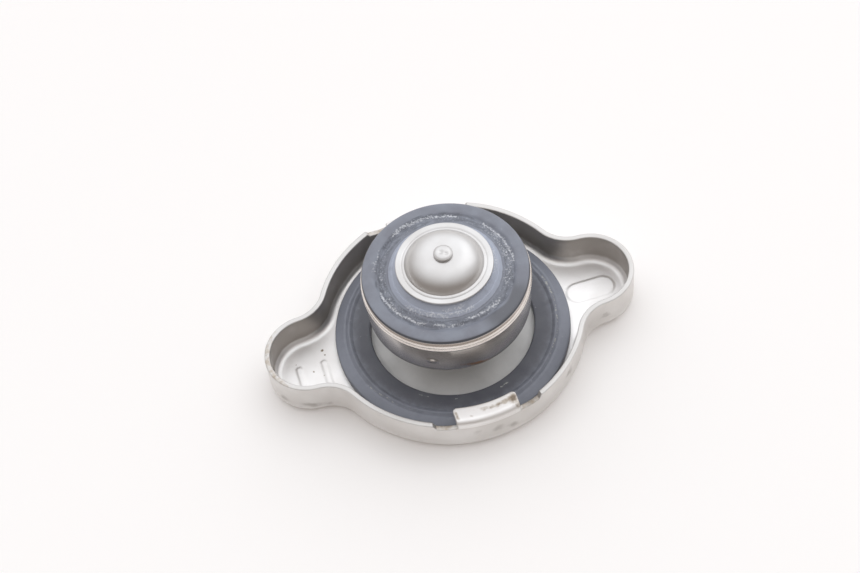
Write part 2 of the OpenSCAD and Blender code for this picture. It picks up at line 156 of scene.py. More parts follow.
def grid_faces(index: Array, close_rows: bool = False, close_columns: bool = True) -> Array:
    """Quads between neighbouring rows and columns of a grid of point numbers.

    Args:
        index: Point numbers, rows by columns.
        close_rows: Whether the last row joins the first.
        close_columns: Whether the last column joins the first.

    Returns:
        Four point numbers per quad, facing outwards for a profile that runs counter-clockwise.
    """
    index = np.concatenate((index, index[:1])) if close_rows else index
    index = np.concatenate((index, index[:, :1]), axis=1) if close_columns else index
    quads = (index[:-1, :-1], index[:-1, 1:], index[1:, 1:], index[1:, :-1])
    return np.stack(quads, axis=-1).reshape(-1, 4)


def arc(centre: tuple[float, float], radius: float, start: float, end: float, count: int) -> Array:
    """Points on a circle from one angle to another.

    Args:
        centre: Middle of the circle.
        radius: Its radius.
        start: First angle in degrees.
        end: Last angle in degrees.
        count: Number of points.

    Returns:
        The points, one per row.
    """
    angle = np.radians(np.linspace(start, end, count))
    return np.asarray(centre) + radius * np.stack((np.cos(angle), np.sin(angle)), axis=1)


def distinct(path: Array) -> Array:
    """Leaves out each point of a closed outline that lies on the one before it."""
    return path[np.linalg.norm(path - np.roll(path, 1, axis=0), axis=1) > SAME_POINT]


def rounded(corners: list[tuple[float, float, float]], closed: bool = True, steps: int = 7) -> Array:
    """Outline with rounded corners: each corner gives the arc that touches both of its sides.

    A hold point lies just past each end of an arc, so that smooth shading stays flat on straight stretches.

    Args:
        corners: Radius, height and fillet of each corner.
        closed: Whether the last corner joins the first. An open outline keeps its ends.
        steps: Points on each arc.

    Returns:
        Radius and height of the outline's points.
    """
    table = np.asarray(corners, float)
    point, fillet = table[:, :2], table[:, 2:]
    back = np.roll(point, 1, axis=0) - point
    ahead = np.roll(point, -1, axis=0) - point
    back_room = np.linalg.norm(back, axis=1, keepdims=True)
    ahead_room = np.linalg.norm(ahead, axis=1, keepdims=True)
    back, ahead = back / back_room, ahead / ahead_room
    half = 0.5 * np.arccos(np.clip((back * ahead).sum(axis=1, keepdims=True), -1, 1))
    cut = fillet / np.tan(half)
    turn = (np.pi - 2 * half)[:, :, None]
    middle = (back + ahead) / np.linalg.norm(back + ahead, axis=1, keepdims=True)
    centre = point + middle * fillet / np.sin(half)
    first, last = point + back * cut - centre, point + ahead * cut - centre
    share = np.linspace(0, 1, steps)[None, :, None]
    bow = first[:, None] * np.sin((1 - share) * turn) + last[:, None] * np.sin(share * turn)
    hold_back = np.minimum(HOLD, HOLD_SHARE * (back_room - cut - np.roll(cut, 1, axis=0)))
    hold_ahead = np.minimum(HOLD, HOLD_SHARE * (ahead_room - cut - np.roll(cut, -1, axis=0)))
    before = point + back * (cut + hold_back)
    after = point + ahead * (cut + hold_ahead)
    path = np.concatenate((before[:, None], centre[:, None] + bow / np.sin(turn), after[:, None]), axis=1)
    if not closed:
        path[0], path[-1] = point[0], point[-1]
    return distinct(path.reshape(-1, 2))


def refined(path: Array, step: float, closed: bool = True) -> Array:
    """Adds points to an outline, so that none are further apart than a step.

    Args:
        path: Radius and height of the outline's points.
        step: Longest stretch in mm.
        closed: Whether the last point joins the first.

    Returns:
        The outline with its own points and the added ones.
    """
    loop = np.concatenate((path, path[:1])) if closed else path
    parts = np.ceil(np.linalg.norm(np.diff(loop, axis=0), axis=1) / step)
    stops = np.concatenate(([0.0], np.cumsum(parts)))
    at = np.arange(stops[-1] + 1)
    dense = np.stack((np.interp(at, stops, loop[:, 0]), np.interp(at, stops, loop[:, 1])), axis=1)
    return dense[:-1] if closed else dense


def round_angle() -> Array:
    """Angles of a spun surface's columns, as one row."""
    return np.linspace(0, 2 * np.pi, ROUND, endpoint=False)[None, :]


def spun(radius: Array, height: Array, poles: bool = False) -> Surface:
    """Surface of revolution about the cap's axis, with any waviness already in its radius and height.

    Point (t, a) is (radius cos a, radius sin a, height), with t along the profile and a round the axis.

    Args:
        radius: Rows by columns, or rows by one.
        height: Rows by columns, or rows by one.
        poles: True if the profile starts and ends on the axis. False if it is a closed ring.

    Returns:
        The closed surface.
    """
    angle = round_angle()
    grid = np.stack((radius * np.cos(angle), radius * np.sin(angle), height + 0 * angle), axis=-1)
    if not poles:
        index = np.arange(grid.shape[0] * ROUND).reshape(-1, ROUND)
        return Surface(grid.reshape(-1, 3), [grid_faces(index, close_rows=True)])
    ring = grid[1:-1]
    index = np.arange(ring.shape[0] * ROUND).reshape(-1, ROUND)
    ends = np.stack((grid[0].mean(axis=0), grid[-1].mean(axis=0)))
    low, high = np.full(ROUND, index.size), np.full(ROUND, index.size + 1)
    fans = np.concatenate((
        np.stack((low, np.roll(index[0], -1), index[0]), axis=1),
        np.stack((high, index[-1], np.roll(index[-1], -1)), axis=1),
    ))
    return Surface(np.concatenate((ring.reshape(-1, 3), ends)), [grid_faces(index), fans])


def turned(path: Array, poles: bool = False) -> Surface:
    """Even surface of revolution of one outline of radius and height."""
    return spun(path[:, :1], path[:, 1:], poles)


def eased(value: Array, start: float, end: float) -> Array:
    """Smooth step from 0 at the start to 1 at the end, whichever of them is the higher."""
    share = np.clip((value - start) / (end - start), 0, 1)
    return share * share * (3 - 2 * share)


def waves(angle: Array, terms: Waves) -> Array:
    """Sum of sine waves round the axis."""
    return sum(height * np.sin(count * angle + phase) for height, count, phase in terms)


def turn_from(angle: Array, bearing: float) -> Array:
    """Turn in radians, from minus half a turn to half a turn, from a bearing in degrees to each angle."""
    return np.angle(np.exp(1j * (angle - math.radians(bearing))))


def blots(first: Array, second: Array, spots: Spots) -> Array:
    """Mark of soft spots, each a bell curve along both coordinates.

    Args:
        first: First coordinate of the points.
        second: Second coordinate of the points.
        spots: The spots.

    Returns:
        The sum of all spots at each point.
    """
    apart = (slice(None),) + (None,) * max(np.ndim(first), np.ndim(second))
    at_first, at_second, wide, tall, strength = (row[apart] for row in np.array(spots, float).T)
    bells = np.exp(-(((first - at_first) / wide) ** 2) - ((second - at_second) / tall) ** 2)
    return (strength * bells).sum(axis=0)


def ribbons(arcs: Arcs, radius: Array, angle: Array) -> Array:
    """Mark of ribbons that lie along arcs round the axis.

    Across a ribbon the mark is a bell curve. Along it the radius drifts evenly, with a slight waver.

    Args:
        arcs: The ribbons.
        radius: Radius of the surface's rows, rows by one.
        angle: Angle of its columns, one by columns.

    Returns:
        The strongest ribbon at each point, rows by columns.
    """
    start, end, start_r, end_r, width, strength = (row[:, None, None] for row in np.array(arcs, float).T)
    turn = np.mod(np.degrees(angle)[None] - start, 360) / (end - start)
    window = eased(turn, 0, RIBBON_FADE) * eased(turn, 1, 1 - RIBBON_FADE)
    waver = RIBBON_WAVER * np.sin(RIBBON_WAVERS * angle + start)
    middle = start_r + turn * (end_r - start_r) + waver
    return (strength * window * np.exp(-(((radius[None] - middle) / width) ** 2))).max(axis=0)


@dataclass(frozen=True)
class Extent:
    """Outer radius, lowest and highest level of a CAD node, in mm."""

    radius: float
    low: float
    high: float

    @classmethod
    def of(cls, node: str) -> "Extent":
        """Reads a node's box from the frame."""
        low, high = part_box(node)
        return cls(high[0] / MM, low[2] / MM, high[2] / MM)


def put_piece(
    surface: Surface, node: str, body: Body, material: bpy.types.Material
) -> bpy.types.Object:
    """Puts a finished surface into the scene in place of its CAD node.

    Args:
        surface: Shape in mm.
        node: CAD node that the piece stands for. The piece takes its name.
        body: Body that the piece rides on.
        material: Its finish.

    Returns:
        The new object.
    """
    name = f"{node}_dressed"
    mesh = surface.mesh(name)
    mesh.materials.append(material)
    piece = bpy.data.objects.new(name, mesh)
    bpy.context.scene.collection.objects.link(piece)
    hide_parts(node)
    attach(piece, body.value)
    LOG.info("%s: %d points, %d faces", name, len(mesh.vertices), len(mesh.polygons))
    return piece


# Finishes

# Number of finer layers in the noise of patches, coats and grain
PATCH_DETAIL = 5.0
COAT_DETAIL = 4.0
GRAIN_DETAIL = 3.0
# Values of the noise between which a patch goes over into the next
PATCH_BAND = (0.36, 0.66)
# Radius in mm of the circle that a pattern drawn out round the axis is laid on
RINGS_REACH = 3.0


def linear(code: str) -> tuple[float, float, float, float]:
    """Turns an sRGB hex colour into linear light.

    Args:
        code: Colour as a number sign and six hex digits.

    Returns:
        Red, green and blue in linear light, with full alpha.
    """
    shares = [int(code[place : place + 2], 16) / 255 for place in (1, 3, 5)]
    light = [s / 12.92 if s <= 0.04045 else ((s + 0.055) / 1.055) ** 2.4 for s in shares]
    return (*light, 1.0)


def per_metre(size: float) -> float:
    """Scale of a pattern whose features are about so many mm across."""
    return 1 / (size * MM)


def add(
    tree: bpy.types.NodeTree, kind: str, inputs: dict | None = None, output: int | str = 0, **settings: object
) -> bpy.types.NodeSocket | None:
    """Adds a node to a tree.

    Args:
        tree: Tree that gets the node.
        kind: Type of the node.
        inputs: By name or number of the input, a value to set or an output to link.
        output: Name or number of the output that is wanted.
        settings: Properties of the node.

    Returns:
        The wanted output, or nothing for a node that ends the tree.
    """
    node = tree.nodes.new(kind)
    for name, value in settings.items():
        setattr(node, name, value)
    for name, value in (inputs or {}).items():
        if isinstance(value, bpy.types.NodeSocket):
            tree.links.new(value, node.inputs[name])
        else:
            node.inputs[name].default_value = value
    return node.outputs[output] if node.outputs else None


class Pattern(Enum):
    """How a coat's pattern lies on its piece."""

    EVEN = "alike in all directions"
    RINGS = "drawn out round the cap's axis"


@dataclass(frozen=True)
class Coat:
    """One coat of wear or dirt. It shows where a fine pattern and a mark on the piece add up to enough.

    Attributes:
        colour: Colour of the coat.
        size: Size of the pattern's features in mm.
        span: Sum at which the coat begins, and sum at which it is full.
        mark: Name of the mark, or empty for a coat that lies everywhere.
        weight: What a full mark adds to the pattern.
        cover: Share of the colour below that a full coat hides.
        pattern: How the pattern lies.
    """

    colour: str
    size: float
    span: tuple[float, float]
    mark: str = ""
    weight: float = 0.5
    cover: float = 1.0
    pattern: Pattern = Pattern.EVEN

    def lay(
        self, tree: bpy.types.NodeTree, place: bpy.types.NodeSocket, below: bpy.types.NodeSocket
    ) -> bpy.types.NodeSocket:
        """Lays the coat over a colour.

        Args:
            tree: Tree that gets the nodes.
            place: Object coordinates.
            below: Colour below.

        Returns:
            The colour with the coat.
        """
        if self.pattern is Pattern.RINGS:
            flat = add(tree, "ShaderNodeVectorMath", {0: place, 1: (1.0, 1.0, 0.0)}, operation="MULTIPLY")
            reach = add(tree, "ShaderNodeVectorMath", {0: flat}, "Value", operation="LENGTH")
            way = add(tree, "ShaderNodeVectorMath", {0: flat}, operation="NORMALIZE")
            spoke = add(tree, "ShaderNodeVectorMath", {0: way, "Scale": RINGS_REACH * MM}, operation="SCALE")
            rise = add(tree, "ShaderNodeCombineXYZ", {"Z": reach})
            place = add(tree, "ShaderNodeVectorMath", {0: spoke, 1: rise}, operation="ADD")
        total = add(tree, "ShaderNodeTexNoise", {
            "Vector": place, "Scale": per_metre(self.size), "Detail": COAT_DETAIL,
        })
        if self.mark:
            share = add(tree, "ShaderNodeAttribute", None, "Fac", attribute_name=self.mark)
            parts = {0: share, 1: self.weight, 2: total}
            total = add(tree, "ShaderNodeMath", parts, operation="MULTIPLY_ADD")
        coat = add(tree, "ShaderNodeMapRange", {
            "Value": total, "From Min": self.span[0], "From Max": self.span[1], "To Max": self.cover,
        }, interpolation_type="SMOOTHSTEP")
        return add(tree, "ShaderNodeMix", {0: coat, 6: below, 7: linear(self.colour)}, 2, data_type="RGBA")


@dataclass(frozen=True)
class Finish:
    """What every finish has: a name for the real material, its colour, its gloss and its coats.

    Attributes:
        name: Common name of the material and how its surface was made.
        colour: Main colour.
        shade: Colour of its duller patches.
        patch: Size of the patches in mm.
        gloss: Roughness of the clearer and of the duller patches.
        grain: Size of the surface's grain in mm.
        relief: Height of the grain in mm.
        coats: Coats of wear and dirt, the lowest first.
        metallic: 1 for bare metal, 0 for rubber.
    """

    name: str
    colour: str
    shade: str
    patch: float
    gloss: tuple[float, float]
    grain: float
    relief: float
    coats: tuple[Coat, ...] = ()
    metallic: float = 0.0

    def make(self) -> bpy.types.Material:
        """Builds the material.

        Returns:
            The new material.
        """
        material = bpy.data.materials.new(self.name)
        material.use_nodes = True
        tree = material.node_tree
        tree.nodes.clear()
        place = add(tree, "ShaderNodeTexCoord", None, "Object")
        cloud = add(tree, "ShaderNodeTexNoise", {
            "Vector": place, "Scale": per_metre(self.patch), "Detail": PATCH_DETAIL,
        })
        low, high = PATCH_BAND
        patches = add(tree, "ShaderNodeMapRange", {"Value": cloud, "From Min": low, "From Max": high})
        colour = add(tree, "ShaderNodeMix", {
            0: patches, 6: linear(self.colour), 7: linear(self.shade),
        }, 2, data_type="RGBA")
        for coat in self.coats:
            colour = coat.lay(tree, place, colour)
        rough = add(tree, "ShaderNodeMapRange", {
            "Value": patches, "To Min": self.gloss[0], "To Max": self.gloss[1],
        })
        grain = add(tree, "ShaderNodeTexNoise", {
            "Vector": place, "Scale": per_metre(self.grain), "Detail": GRAIN_DETAIL,
        })
        bump = add(tree, "ShaderNodeBump", {"Height": grain, "Distance": self.relief * MM, "Strength": 1.0})
        shader = add(tree, "ShaderNodeBsdfPrincipled", {
            "Base Color": colour, "Roughness": rough, "Metallic": self.metallic, "Normal": bump,
        })
        add(tree, "ShaderNodeOutputMaterial", {"Surface": shader})
        return material


@dataclass(frozen=True)
class Steel(Finish):
    """Bare or coated steel: sheet, pressings and wire."""

    metallic: float = 1.0


@dataclass(frozen=True)
class Rubber(Finish):
    """Moulded rubber, gone grey with age."""


# Stainless sheet, rolled and pressed: pale and satin, with soft reflections. Skirt and sheared edges are
# duller, the drawn inner walls are darkened by painted shade, the skirt is scuffed, and the tabs are stained
# brown
SHELL = Steel("satin stainless steel sheet", "#f6f5f4", "#efedeb", 9.0, (0.43, 0.53), 0.5, 0.008, (
    # Painted shade: darker colour high on the inner walls
    Coat("#b2ada8", 5.0, (0.8, 1.5), "wall", 1.0),
    Coat("#b4afa9", 7.0, (0.2, 1.6), "skirt", 0.6, 0.48),
    Coat("#7d766e", 1.8, (0.72, 1.3), "scuff", 0.75, 0.48),
    Coat("#c3c1be", 0.6, (0.7, 3.4), "edge", 3.0, 0.8),
    Coat("#a2937f", 0.9, (0.72, 1.25), "stain", 0.75, 0.8),
    Coat("#6f6152", 0.5, (1.0, 1.4), "stain", 0.75, 0.7),
))
# Plated mild steel: flatter and greyer than the shell
RIVET = Steel("plated mild steel", "#c9c8c6", "#acaaa7", 3.0, (0.3, 0.42), 0.4, 0.01)
# Zinc-coated sheet: light neutral grey, matt
PLATE = Steel("zinc-coated steel sheet", "#e9e9e8", "#dfdfde", 6.0, (0.74, 0.84), 0.4, 0.012)
# Patented spring wire: dark grey with a dull shine
SPRING = Steel("drawn spring wire", "#8d8c8a", "#6f6d6a", 2.0, (0.34, 0.48), 0.3, 0.008)
# Deep-drawn steel, tinted by heat and coolant: warm grey-brown, with one tan streak
CUP = Steel("deep-drawn steel cup", "#ece6e1", "#ded7d1", 5.0, (0.2, 0.26), 0.5, 0.003, (
    Coat("#e3ab7c", 0.8, (0.7, 1.4), "tint", 1.0, 0.9),
))
# Pressed stainless, left satin: the brightest piece, with soft reflections
VALVE = Steel("satin stainless pressing", "#cfcecd", "#c6c4c2", 5.0, (0.28, 0.34), 0.5, 0.001)
# Black rubber gone grey, moulded: dark near the plunger with painted shade, paler and dusty towards its outer
# edge
GASKET = Rubber("moulded nitrile rubber", "#565860", "#606269", 3.5, (0.46, 0.52), 0.35, 0.02, (
    # Pale dust outward, leaving the dark painted shade near the plunger
    Coat("#888c97", 1.2, (0.9, 2.6), "bloom_and_shade", 2.0),
    Coat("#b9bab4", 0.45, (0.78, 0.98), "crumbs", 0.4, 0.85),
    Coat("#a8aab0", 0.6, (0.7, 0.76), cover=0.6),
))
# Same rubber, worn in rings by the neck's seat, damp at one place and crusted white with dry coolant, with
# painted shade darkening its side
SEAL = Rubber("worn nitrile rubber", "#7c7f89", "#898e99", 3.0, (0.42, 0.5), 0.3, 0.015, (
    Coat("#b0b7c6", 1.5, (0.7, 1.3), "collar", 0.8, 0.9),
    Coat("#5c6069", 0.4, (1.25, 1.75), "worn", 1.0, 0.9, Pattern.RINGS),
    Coat("#b4bac3", 0.25, (1.55, 1.72), "worn", 1.0, 0.45),
    Coat("#5f6167", 1.5, (0.8, 2.4), "damp", 2.0, 0.85),
    # Painted shade: a dark band down the seal's side, below its top face
    Coat("#3c3e43", 1.5, (0.8, 2.2), "side", 2.0, 0.9),
    Coat("#d9dce1", 0.3, (0.68, 0.96), "crust", 0.34, 0.85),
))


# Sub-assemblies


@dataclass
class PressedShell:
    """Crown, ears, skirt and cam tabs, pressed from one sheet.

    Sizes are in mm. Nicks and grit lie at an x and a y, scuffs at an x and a height, and soil at an x and a
    depth in from the skirt.
    """

    body_r: float = 22.3
    ear_reach: float = 31.75
    ear_r: float = 7.3
    blend_r: float = 5.8
    skirt_h: float = 7.1
    sheet: float = 0.9
    bend_r: float = 1.5
    bend_in: tuple[float, float] = (0.7, 1.25)
    body_band: Band = (14.0, 21.0)
    foot_lean: float = 0.3
    foot_band: Band = (0.5, 6.0)
    edge_r: float = 0.18
    hole_r: float = 2.05
    recess_r: float = 6.0
    recess_h: float = 1.3
    crease: float = 0.373
    crease_fillet: float = 0.8
    flat_r: float = 8.2
    tab_half: float = 5.3
    tab_len: float = 3.6
    tab_corner: float = 0.9
    tab_ease: float = 0.8
    tab_lean: float = 0.45
    tab_band: Band = (1.8, 5.4)
    fold_r: float = 1.05
    notch: tuple[tuple[float, float], ...] = ((6.5, 5.7), (8.6, 6.25), (9.15, 7.1))
    square_band: Band = (6.0, 12.0)
    mark_h: float = 0.13
    mark_soft: tuple[float, float] = (0.2, 0.22)
    bar_x: tuple[float, float] = (-26.6, -22.3)
    bar: tuple[float, float, float] = (1.0, 5.2, -1.1)
    pad: tuple[float, float] = (3.9, 8.3)
    rim_waves: Waves = ((0.025, 5, 0.7), (0.018, 13, 2.1))
    wave_drop: float = 0.1
    nicks: Spots = (
        (-31.2, -2.6, 0.4243, 0.4243, 0.12), (-31.6, -0.9, 0.495, 0.495, 0.1),
        (29.9, -4.9, 0.7071, 0.7071, 0.08),
    )
    soil: Spots = (
        (4.6, 1.9, 1.0, 1.0, 1.1), (0.4, 1.9, 1.6, 0.5, 0.75), (2.6, 2.1, 1.2, 0.6, 0.7),
        (-4.9, 1.6, 0.35, 1.0, 0.9), (-2.7, 1.3, 0.5, 0.3, 0.7), (-1.6, 2.4, 0.8, 0.4, 0.5),
        (4.9, 0.4, 0.6, 0.5, 0.7),
    )
    back_soil: float = 0.4
    grit: Spots = (
        (-22.0, 3.5, 0.24, 0.24, 1.6), (-21.8, 2.5, 0.16, 0.16, 1.6), (-24.4, -0.1, 0.17, 0.17, 1.6),
        (-22.9, -1.4, 0.13, 0.13, 1.6), (-26.9, 2.2, 0.12, 0.12, 1.6),
    )
    scuffs: Spots = (
        (-30.3, 2.6, 0.9, 0.9, 0.7), (-26.5, 2.2, 2.0, 1.0, 0.9), (-23.5, 2.0, 1.5, 0.9, 0.7),
        (-2.5, 4.3, 1.6, 1.1, 0.6), (1.0, 3.6, 1.6, 1.1, 0.7), (3.8, 2.8, 1.3, 1.0, 0.8),
        (15.0, 4.6, 1.0, 1.2, 0.9), (24.5, 3.2, 1.9, 1.0, 0.7),
    )
    wear_drop: float = 0.16
    rim_dirt: float = 0.6
    chafe_band: Band = (-26.0, -30.5)
    shear_band: Band = (7.0, 6.2)
    skirt_band: Band = (0.6, 2.2)
    # Heights over which the painted shade on the inner walls comes in
    wall_shade_band: Band = (1.1, 2.6)
    lift: tuple[float, ...] = (0.02, 0.06, 0.18, 0.3, 0.42, 0.54, 0.66, 0.8, 0.92, 1.0)
    plain_rows: tuple[float, float, int] = (0.0625, 0.5, 8)
    crown_rows: tuple[float, float, int] = (0.52, 0.97, 26)
    floor_rows: tuple[float, float, int] = (0.515, 0.975, 58)
    clear_x: float = 12.0
    tab_stop: float = 4.3
    edge_column: float = 0.2
    ear_steps: int = 46
    blend_steps: int = 14
    body_steps: tuple[int, ...] = (10, 8, 4, 10, 5, 4, 6, 14)
    fold_steps: int = 9
    lip_steps: int = 5
    climb_steps: int = 4
    run_steps: int = 12
    run_start: tuple[float, float] = (0.04, 0.12)

    def __post_init__(self) -> None:
        """Lays out the outline's columns: place, outward normal and whether a column is on the round body."""
        ear_x = self.ear_reach - self.ear_r
        reach = self.body_r + self.blend_r
        blend_x = (reach**2 - (self.ear_r + self.blend_r) ** 2 + ear_x**2) / (2 * ear_x)
        blend_y = math.sqrt(reach**2 - blend_x**2)
        ear_end = math.atan2(blend_y, blend_x - ear_x)
        hollow_start, hollow_end = math.atan2(-blend_y, ear_x - blend_x), math.atan2(-blend_y, -blend_x)
        ear = np.linspace(0, ear_end, self.ear_steps, endpoint=False)
        hollow = np.linspace(hollow_start, hollow_end, self.blend_steps, endpoint=False)
        near = [self.clear_x, *(x for x, _ in reversed(self.notch)), self.tab_half]
        near += [self.tab_half - self.edge_column, self.tab_stop, 0.0]
        stops = [math.atan2(blend_y, blend_x)] + [math.acos(x / self.body_r) for x in near]
        counts = np.cumsum([0, *self.body_steps])
        body = np.interp(np.arange(counts[-1] + 1), counts, stops)
        turn = np.concatenate((ear, hollow, body))
        part = np.repeat((0, 1, 2), (len(ear), len(hollow), len(body)))
        middle = np.array(((ear_x, 0.0), (blend_x, blend_y), (0.0, 0.0)))[part]
        size = np.array((self.ear_r, self.blend_r, self.body_r))[part]
        sign = np.array((1.0, -1.0, 1.0))[part]
        ray = np.stack((np.cos(turn), np.sin(turn)), axis=1)
        self.place = self.mirrored(middle + size[:, None] * ray)
        self.normal = self.mirrored(sign[:, None] * ray)
        on_body = part == 2
        self.on_body = np.concatenate((on_body, on_body[::-1][1:], on_body[1:], on_body[::-1][1:-1]))
        self.columns = len(self.place)
        self.body_share = 1 - eased(np.abs(self.place[:, 0]), *self.body_band)
        self.sweep = np.linspace(0, np.pi / 2, self.fold_steps)[:, None]
        self.nose = np.linspace(0, np.pi / 2, self.lip_steps)[1:, None]

    def mirrored(self, quarter: Array) -> Array:
        """Carries a quarter of the outline round the other three quarters."""
        flip = np.array((-1.0, 1.0))
        return np.concatenate((
            quarter, (quarter * flip)[::-1][1:], -quarter[1:], (quarter * -flip)[::-1][1:-1],
        ))

    def inset(self, depth: Array) -> Array:
        """Outline moved in by a depth, along its normal, or square to the tab near a cam tab.

        Args:
            depth: Depth in mm, rows by one or rows by columns.

        Returns:
            Places in plan, rows by columns by two.
        """
        depth = np.broadcast_to(depth, (len(depth), self.columns))
        plain = self.place - depth[:, :, None] * self.normal
        x = self.place[:, 0]
        square_x = x * (1 - eased(np.abs(x), *self.square_band) * depth / self.body_r)
        reach = np.sqrt(np.maximum((self.body_r - depth) ** 2 - square_x**2, 0))
        square = np.stack((square_x, np.sign(self.place[:, 1]) * reach), axis=-1)
        return np.where(self.on_body[:, None], square, plain)

    def wall(self, depth: Array, height: Array) -> Array:
        """Rows of the skirt and bends: the outline moved in by each depth and the lean, at each height."""
        plan = self.inset(depth + self.lean(height))
        return np.concatenate((plan, np.broadcast_to(height, plan.shape[:2])[:, :, None]), axis=-1)

    def rings(self, path: Array) -> Array:
        """Rows of the recess: circles of a radius and height, with columns on the outline's own bearings.

        Args:
            path: Radius and height of each row.

        Returns:
            Places, rows by columns by three.
        """
        bearing = np.arctan2(self.place[:, 1], self.place[:, 0])[None, :]
        radius, height = path[:, :1], path[:, 1:]
        return np.stack((radius * np.cos(bearing), radius * np.sin(bearing), height + 0 * bearing), axis=-1)

    def pressed(self, plan: Array) -> Array:
        """Height of the ears' marks: two bars on one ear and a pad on the other, obrounds with soft sides.

        Args:
            plan: Places in plan.

        Returns:
            Height in mm at each place.
        """
        x, y = plan[..., 0], plan[..., 1]
        bar_w, bar_len, bar_y = self.bar
        pad_w, pad_len = self.pad
        bar_soft, pad_soft = self.mark_soft
        along = np.abs(y - bar_y)[..., None]
        across = np.abs(x[..., None] - np.array(self.bar_x))
        bars = np.hypot(across, np.maximum(along - (bar_len - bar_w) / 2, 0)).min(axis=-1) - bar_w / 2
        ear_x = self.ear_reach - self.ear_r
        pad = np.hypot(np.maximum(np.abs(x - ear_x) - (pad_len - pad_w) / 2, 0), y) - pad_w / 2
        return self.mark_h * np.maximum(eased(bars, bar_soft, -bar_soft), eased(pad, pad_soft, -pad_soft))

    def flat(self, shares: Array, level: float, edge: Array | float) -> Array:
        """Rows of the flat sheet between the recess and the bend, with the ears' marks.

        Args:
            shares: Shares of the way out from the recess.
            level: Height of the sheet's face.
            edge: Depth at which the bend begins, one value or one per column.

        Returns:
            Places, rows by columns by three.
        """
        outer = self.inset((edge + self.lean(level))[None, :])
        bearing = np.arctan2(self.place[:, 1], self.place[:, 0])
        inner = self.flat_r * np.stack((np.cos(bearing), np.sin(bearing)), axis=-1)
        plan = inner + shares[:, None, None] * (outer - inner)
        return np.concatenate((plan, (level + self.pressed(plan))[:, :, None]), axis=-1)

    def rim(self) -> Array:
        """Height of the rim: the notches beside the tabs, slow waves that only dip, and a few nicks.

        Returns:
            Height in mm over each column.
        """
        x, y = self.place.T
        notch_x, notch_z = np.array(self.notch).T
        level = np.where(self.on_body, np.interp(np.abs(x), notch_x, notch_z), self.skirt_h)
        dips = np.minimum(waves(np.arctan2(y, x), self.rim_waves), 0)
        dips = dips * eased(level, self.skirt_h - self.wave_drop, self.skirt_h)
        return level + dips - blots(x, y, self.nicks)

    def lean(self, height: Array | float) -> Array:
        """Depth by which the skirt leans in: the round body at its foot, and at the rim across a cam tab.

        Args:
            height: Heights, rows by one or rows by columns, or one height.

        Returns:
            Depth in mm for each column.
        """
        near = 1 - eased(np.abs(self.place[:, 0]), self.tab_half, self.notch[-1][0])
        tab = self.tab_lean * near * self.on_body * eased(height, *self.tab_band)
        return tab + self.foot_lean * self.body_share * (1 - eased(height, *self.foot_band))

    def tab(self, columns: Array) -> tuple[Array, Array, Array]:
        """Strip of one cam tab: up from the notch, round the fold, in to the tip and back beneath.

        Each column is the section of a bent sheet. The tip follows a circle and has round corners.

        Args:
            columns: Numbers of the outline's columns across the tab.

        Returns:
            Places, rows by columns by three, the share of worn edge and the share of stain.
        """
        x = self.place[columns, 0]
        side = np.sign(self.place[columns[0], 1])
        past = np.clip(np.abs(x) - (self.tab_half - self.tab_corner), 0, self.tab_corner)
        tip = self.tab_len - self.tab_lean - self.tab_corner + np.sqrt(self.tab_corner**2 - past**2)
        near = np.clip((self.tab_half - np.abs(x)) / self.edge_r, 0, 1)
        ease = self.edge_r * (1 - np.sqrt(1 - (1 - near) ** 2)) * self.tab_ease
        out_r, in_r = self.fold_r - ease, self.fold_r - self.sheet + ease
        fold_z, join_z = self.skirt_h - self.fold_r, self.notch[0][1] - self.edge_r
        first, second = self.run_start
        climb = np.linspace(0, 1, self.climb_steps)[1:-1, None]
        run = np.concatenate(([first], np.linspace(second, 1, self.run_steps)))[:, None]
        end = tip - self.edge_r
        inward = self.fold_r + run * (end - self.fold_r)
        nose_in, nose_down = self.edge_r * np.sin(self.nose), self.edge_r * (1 - np.cos(self.nose))
        depth = np.concatenate((
            ease * climb, self.fold_r - out_r * np.cos(self.sweep), inward, end + nose_in,
            end + nose_in[::-1], inward[::-1], (self.fold_r - in_r * np.cos(self.sweep))[::-1],
            self.sheet - ease * climb[::-1],
        ))
        rise = join_z + climb * (fold_z - join_z) + 0 * x
        top, under = fold_z + out_r, fold_z + in_r
        level = np.concatenate((
            rise, fold_z + out_r * np.sin(self.sweep), top + 0 * run, top - nose_down,
            (under + nose_down)[::-1], under + 0 * run, (fold_z + in_r * np.sin(self.sweep))[::-1],
            rise[::-1],
        ))
        radius = self.body_r - self.tab_lean - depth
        y = side * np.sqrt(radius**2 - x**2)
        strip = np.stack((np.broadcast_to(x, y.shape), y, level), axis=-1)
        worn = np.exp(-np.minimum(tip - depth, self.tab_half - np.abs(x)) / self.edge_r)
        soil = (1.0 if side < 0 else self.back_soil) * blots(x, depth, self.soil) * (level > fold_z)
        return strip, worn, soil

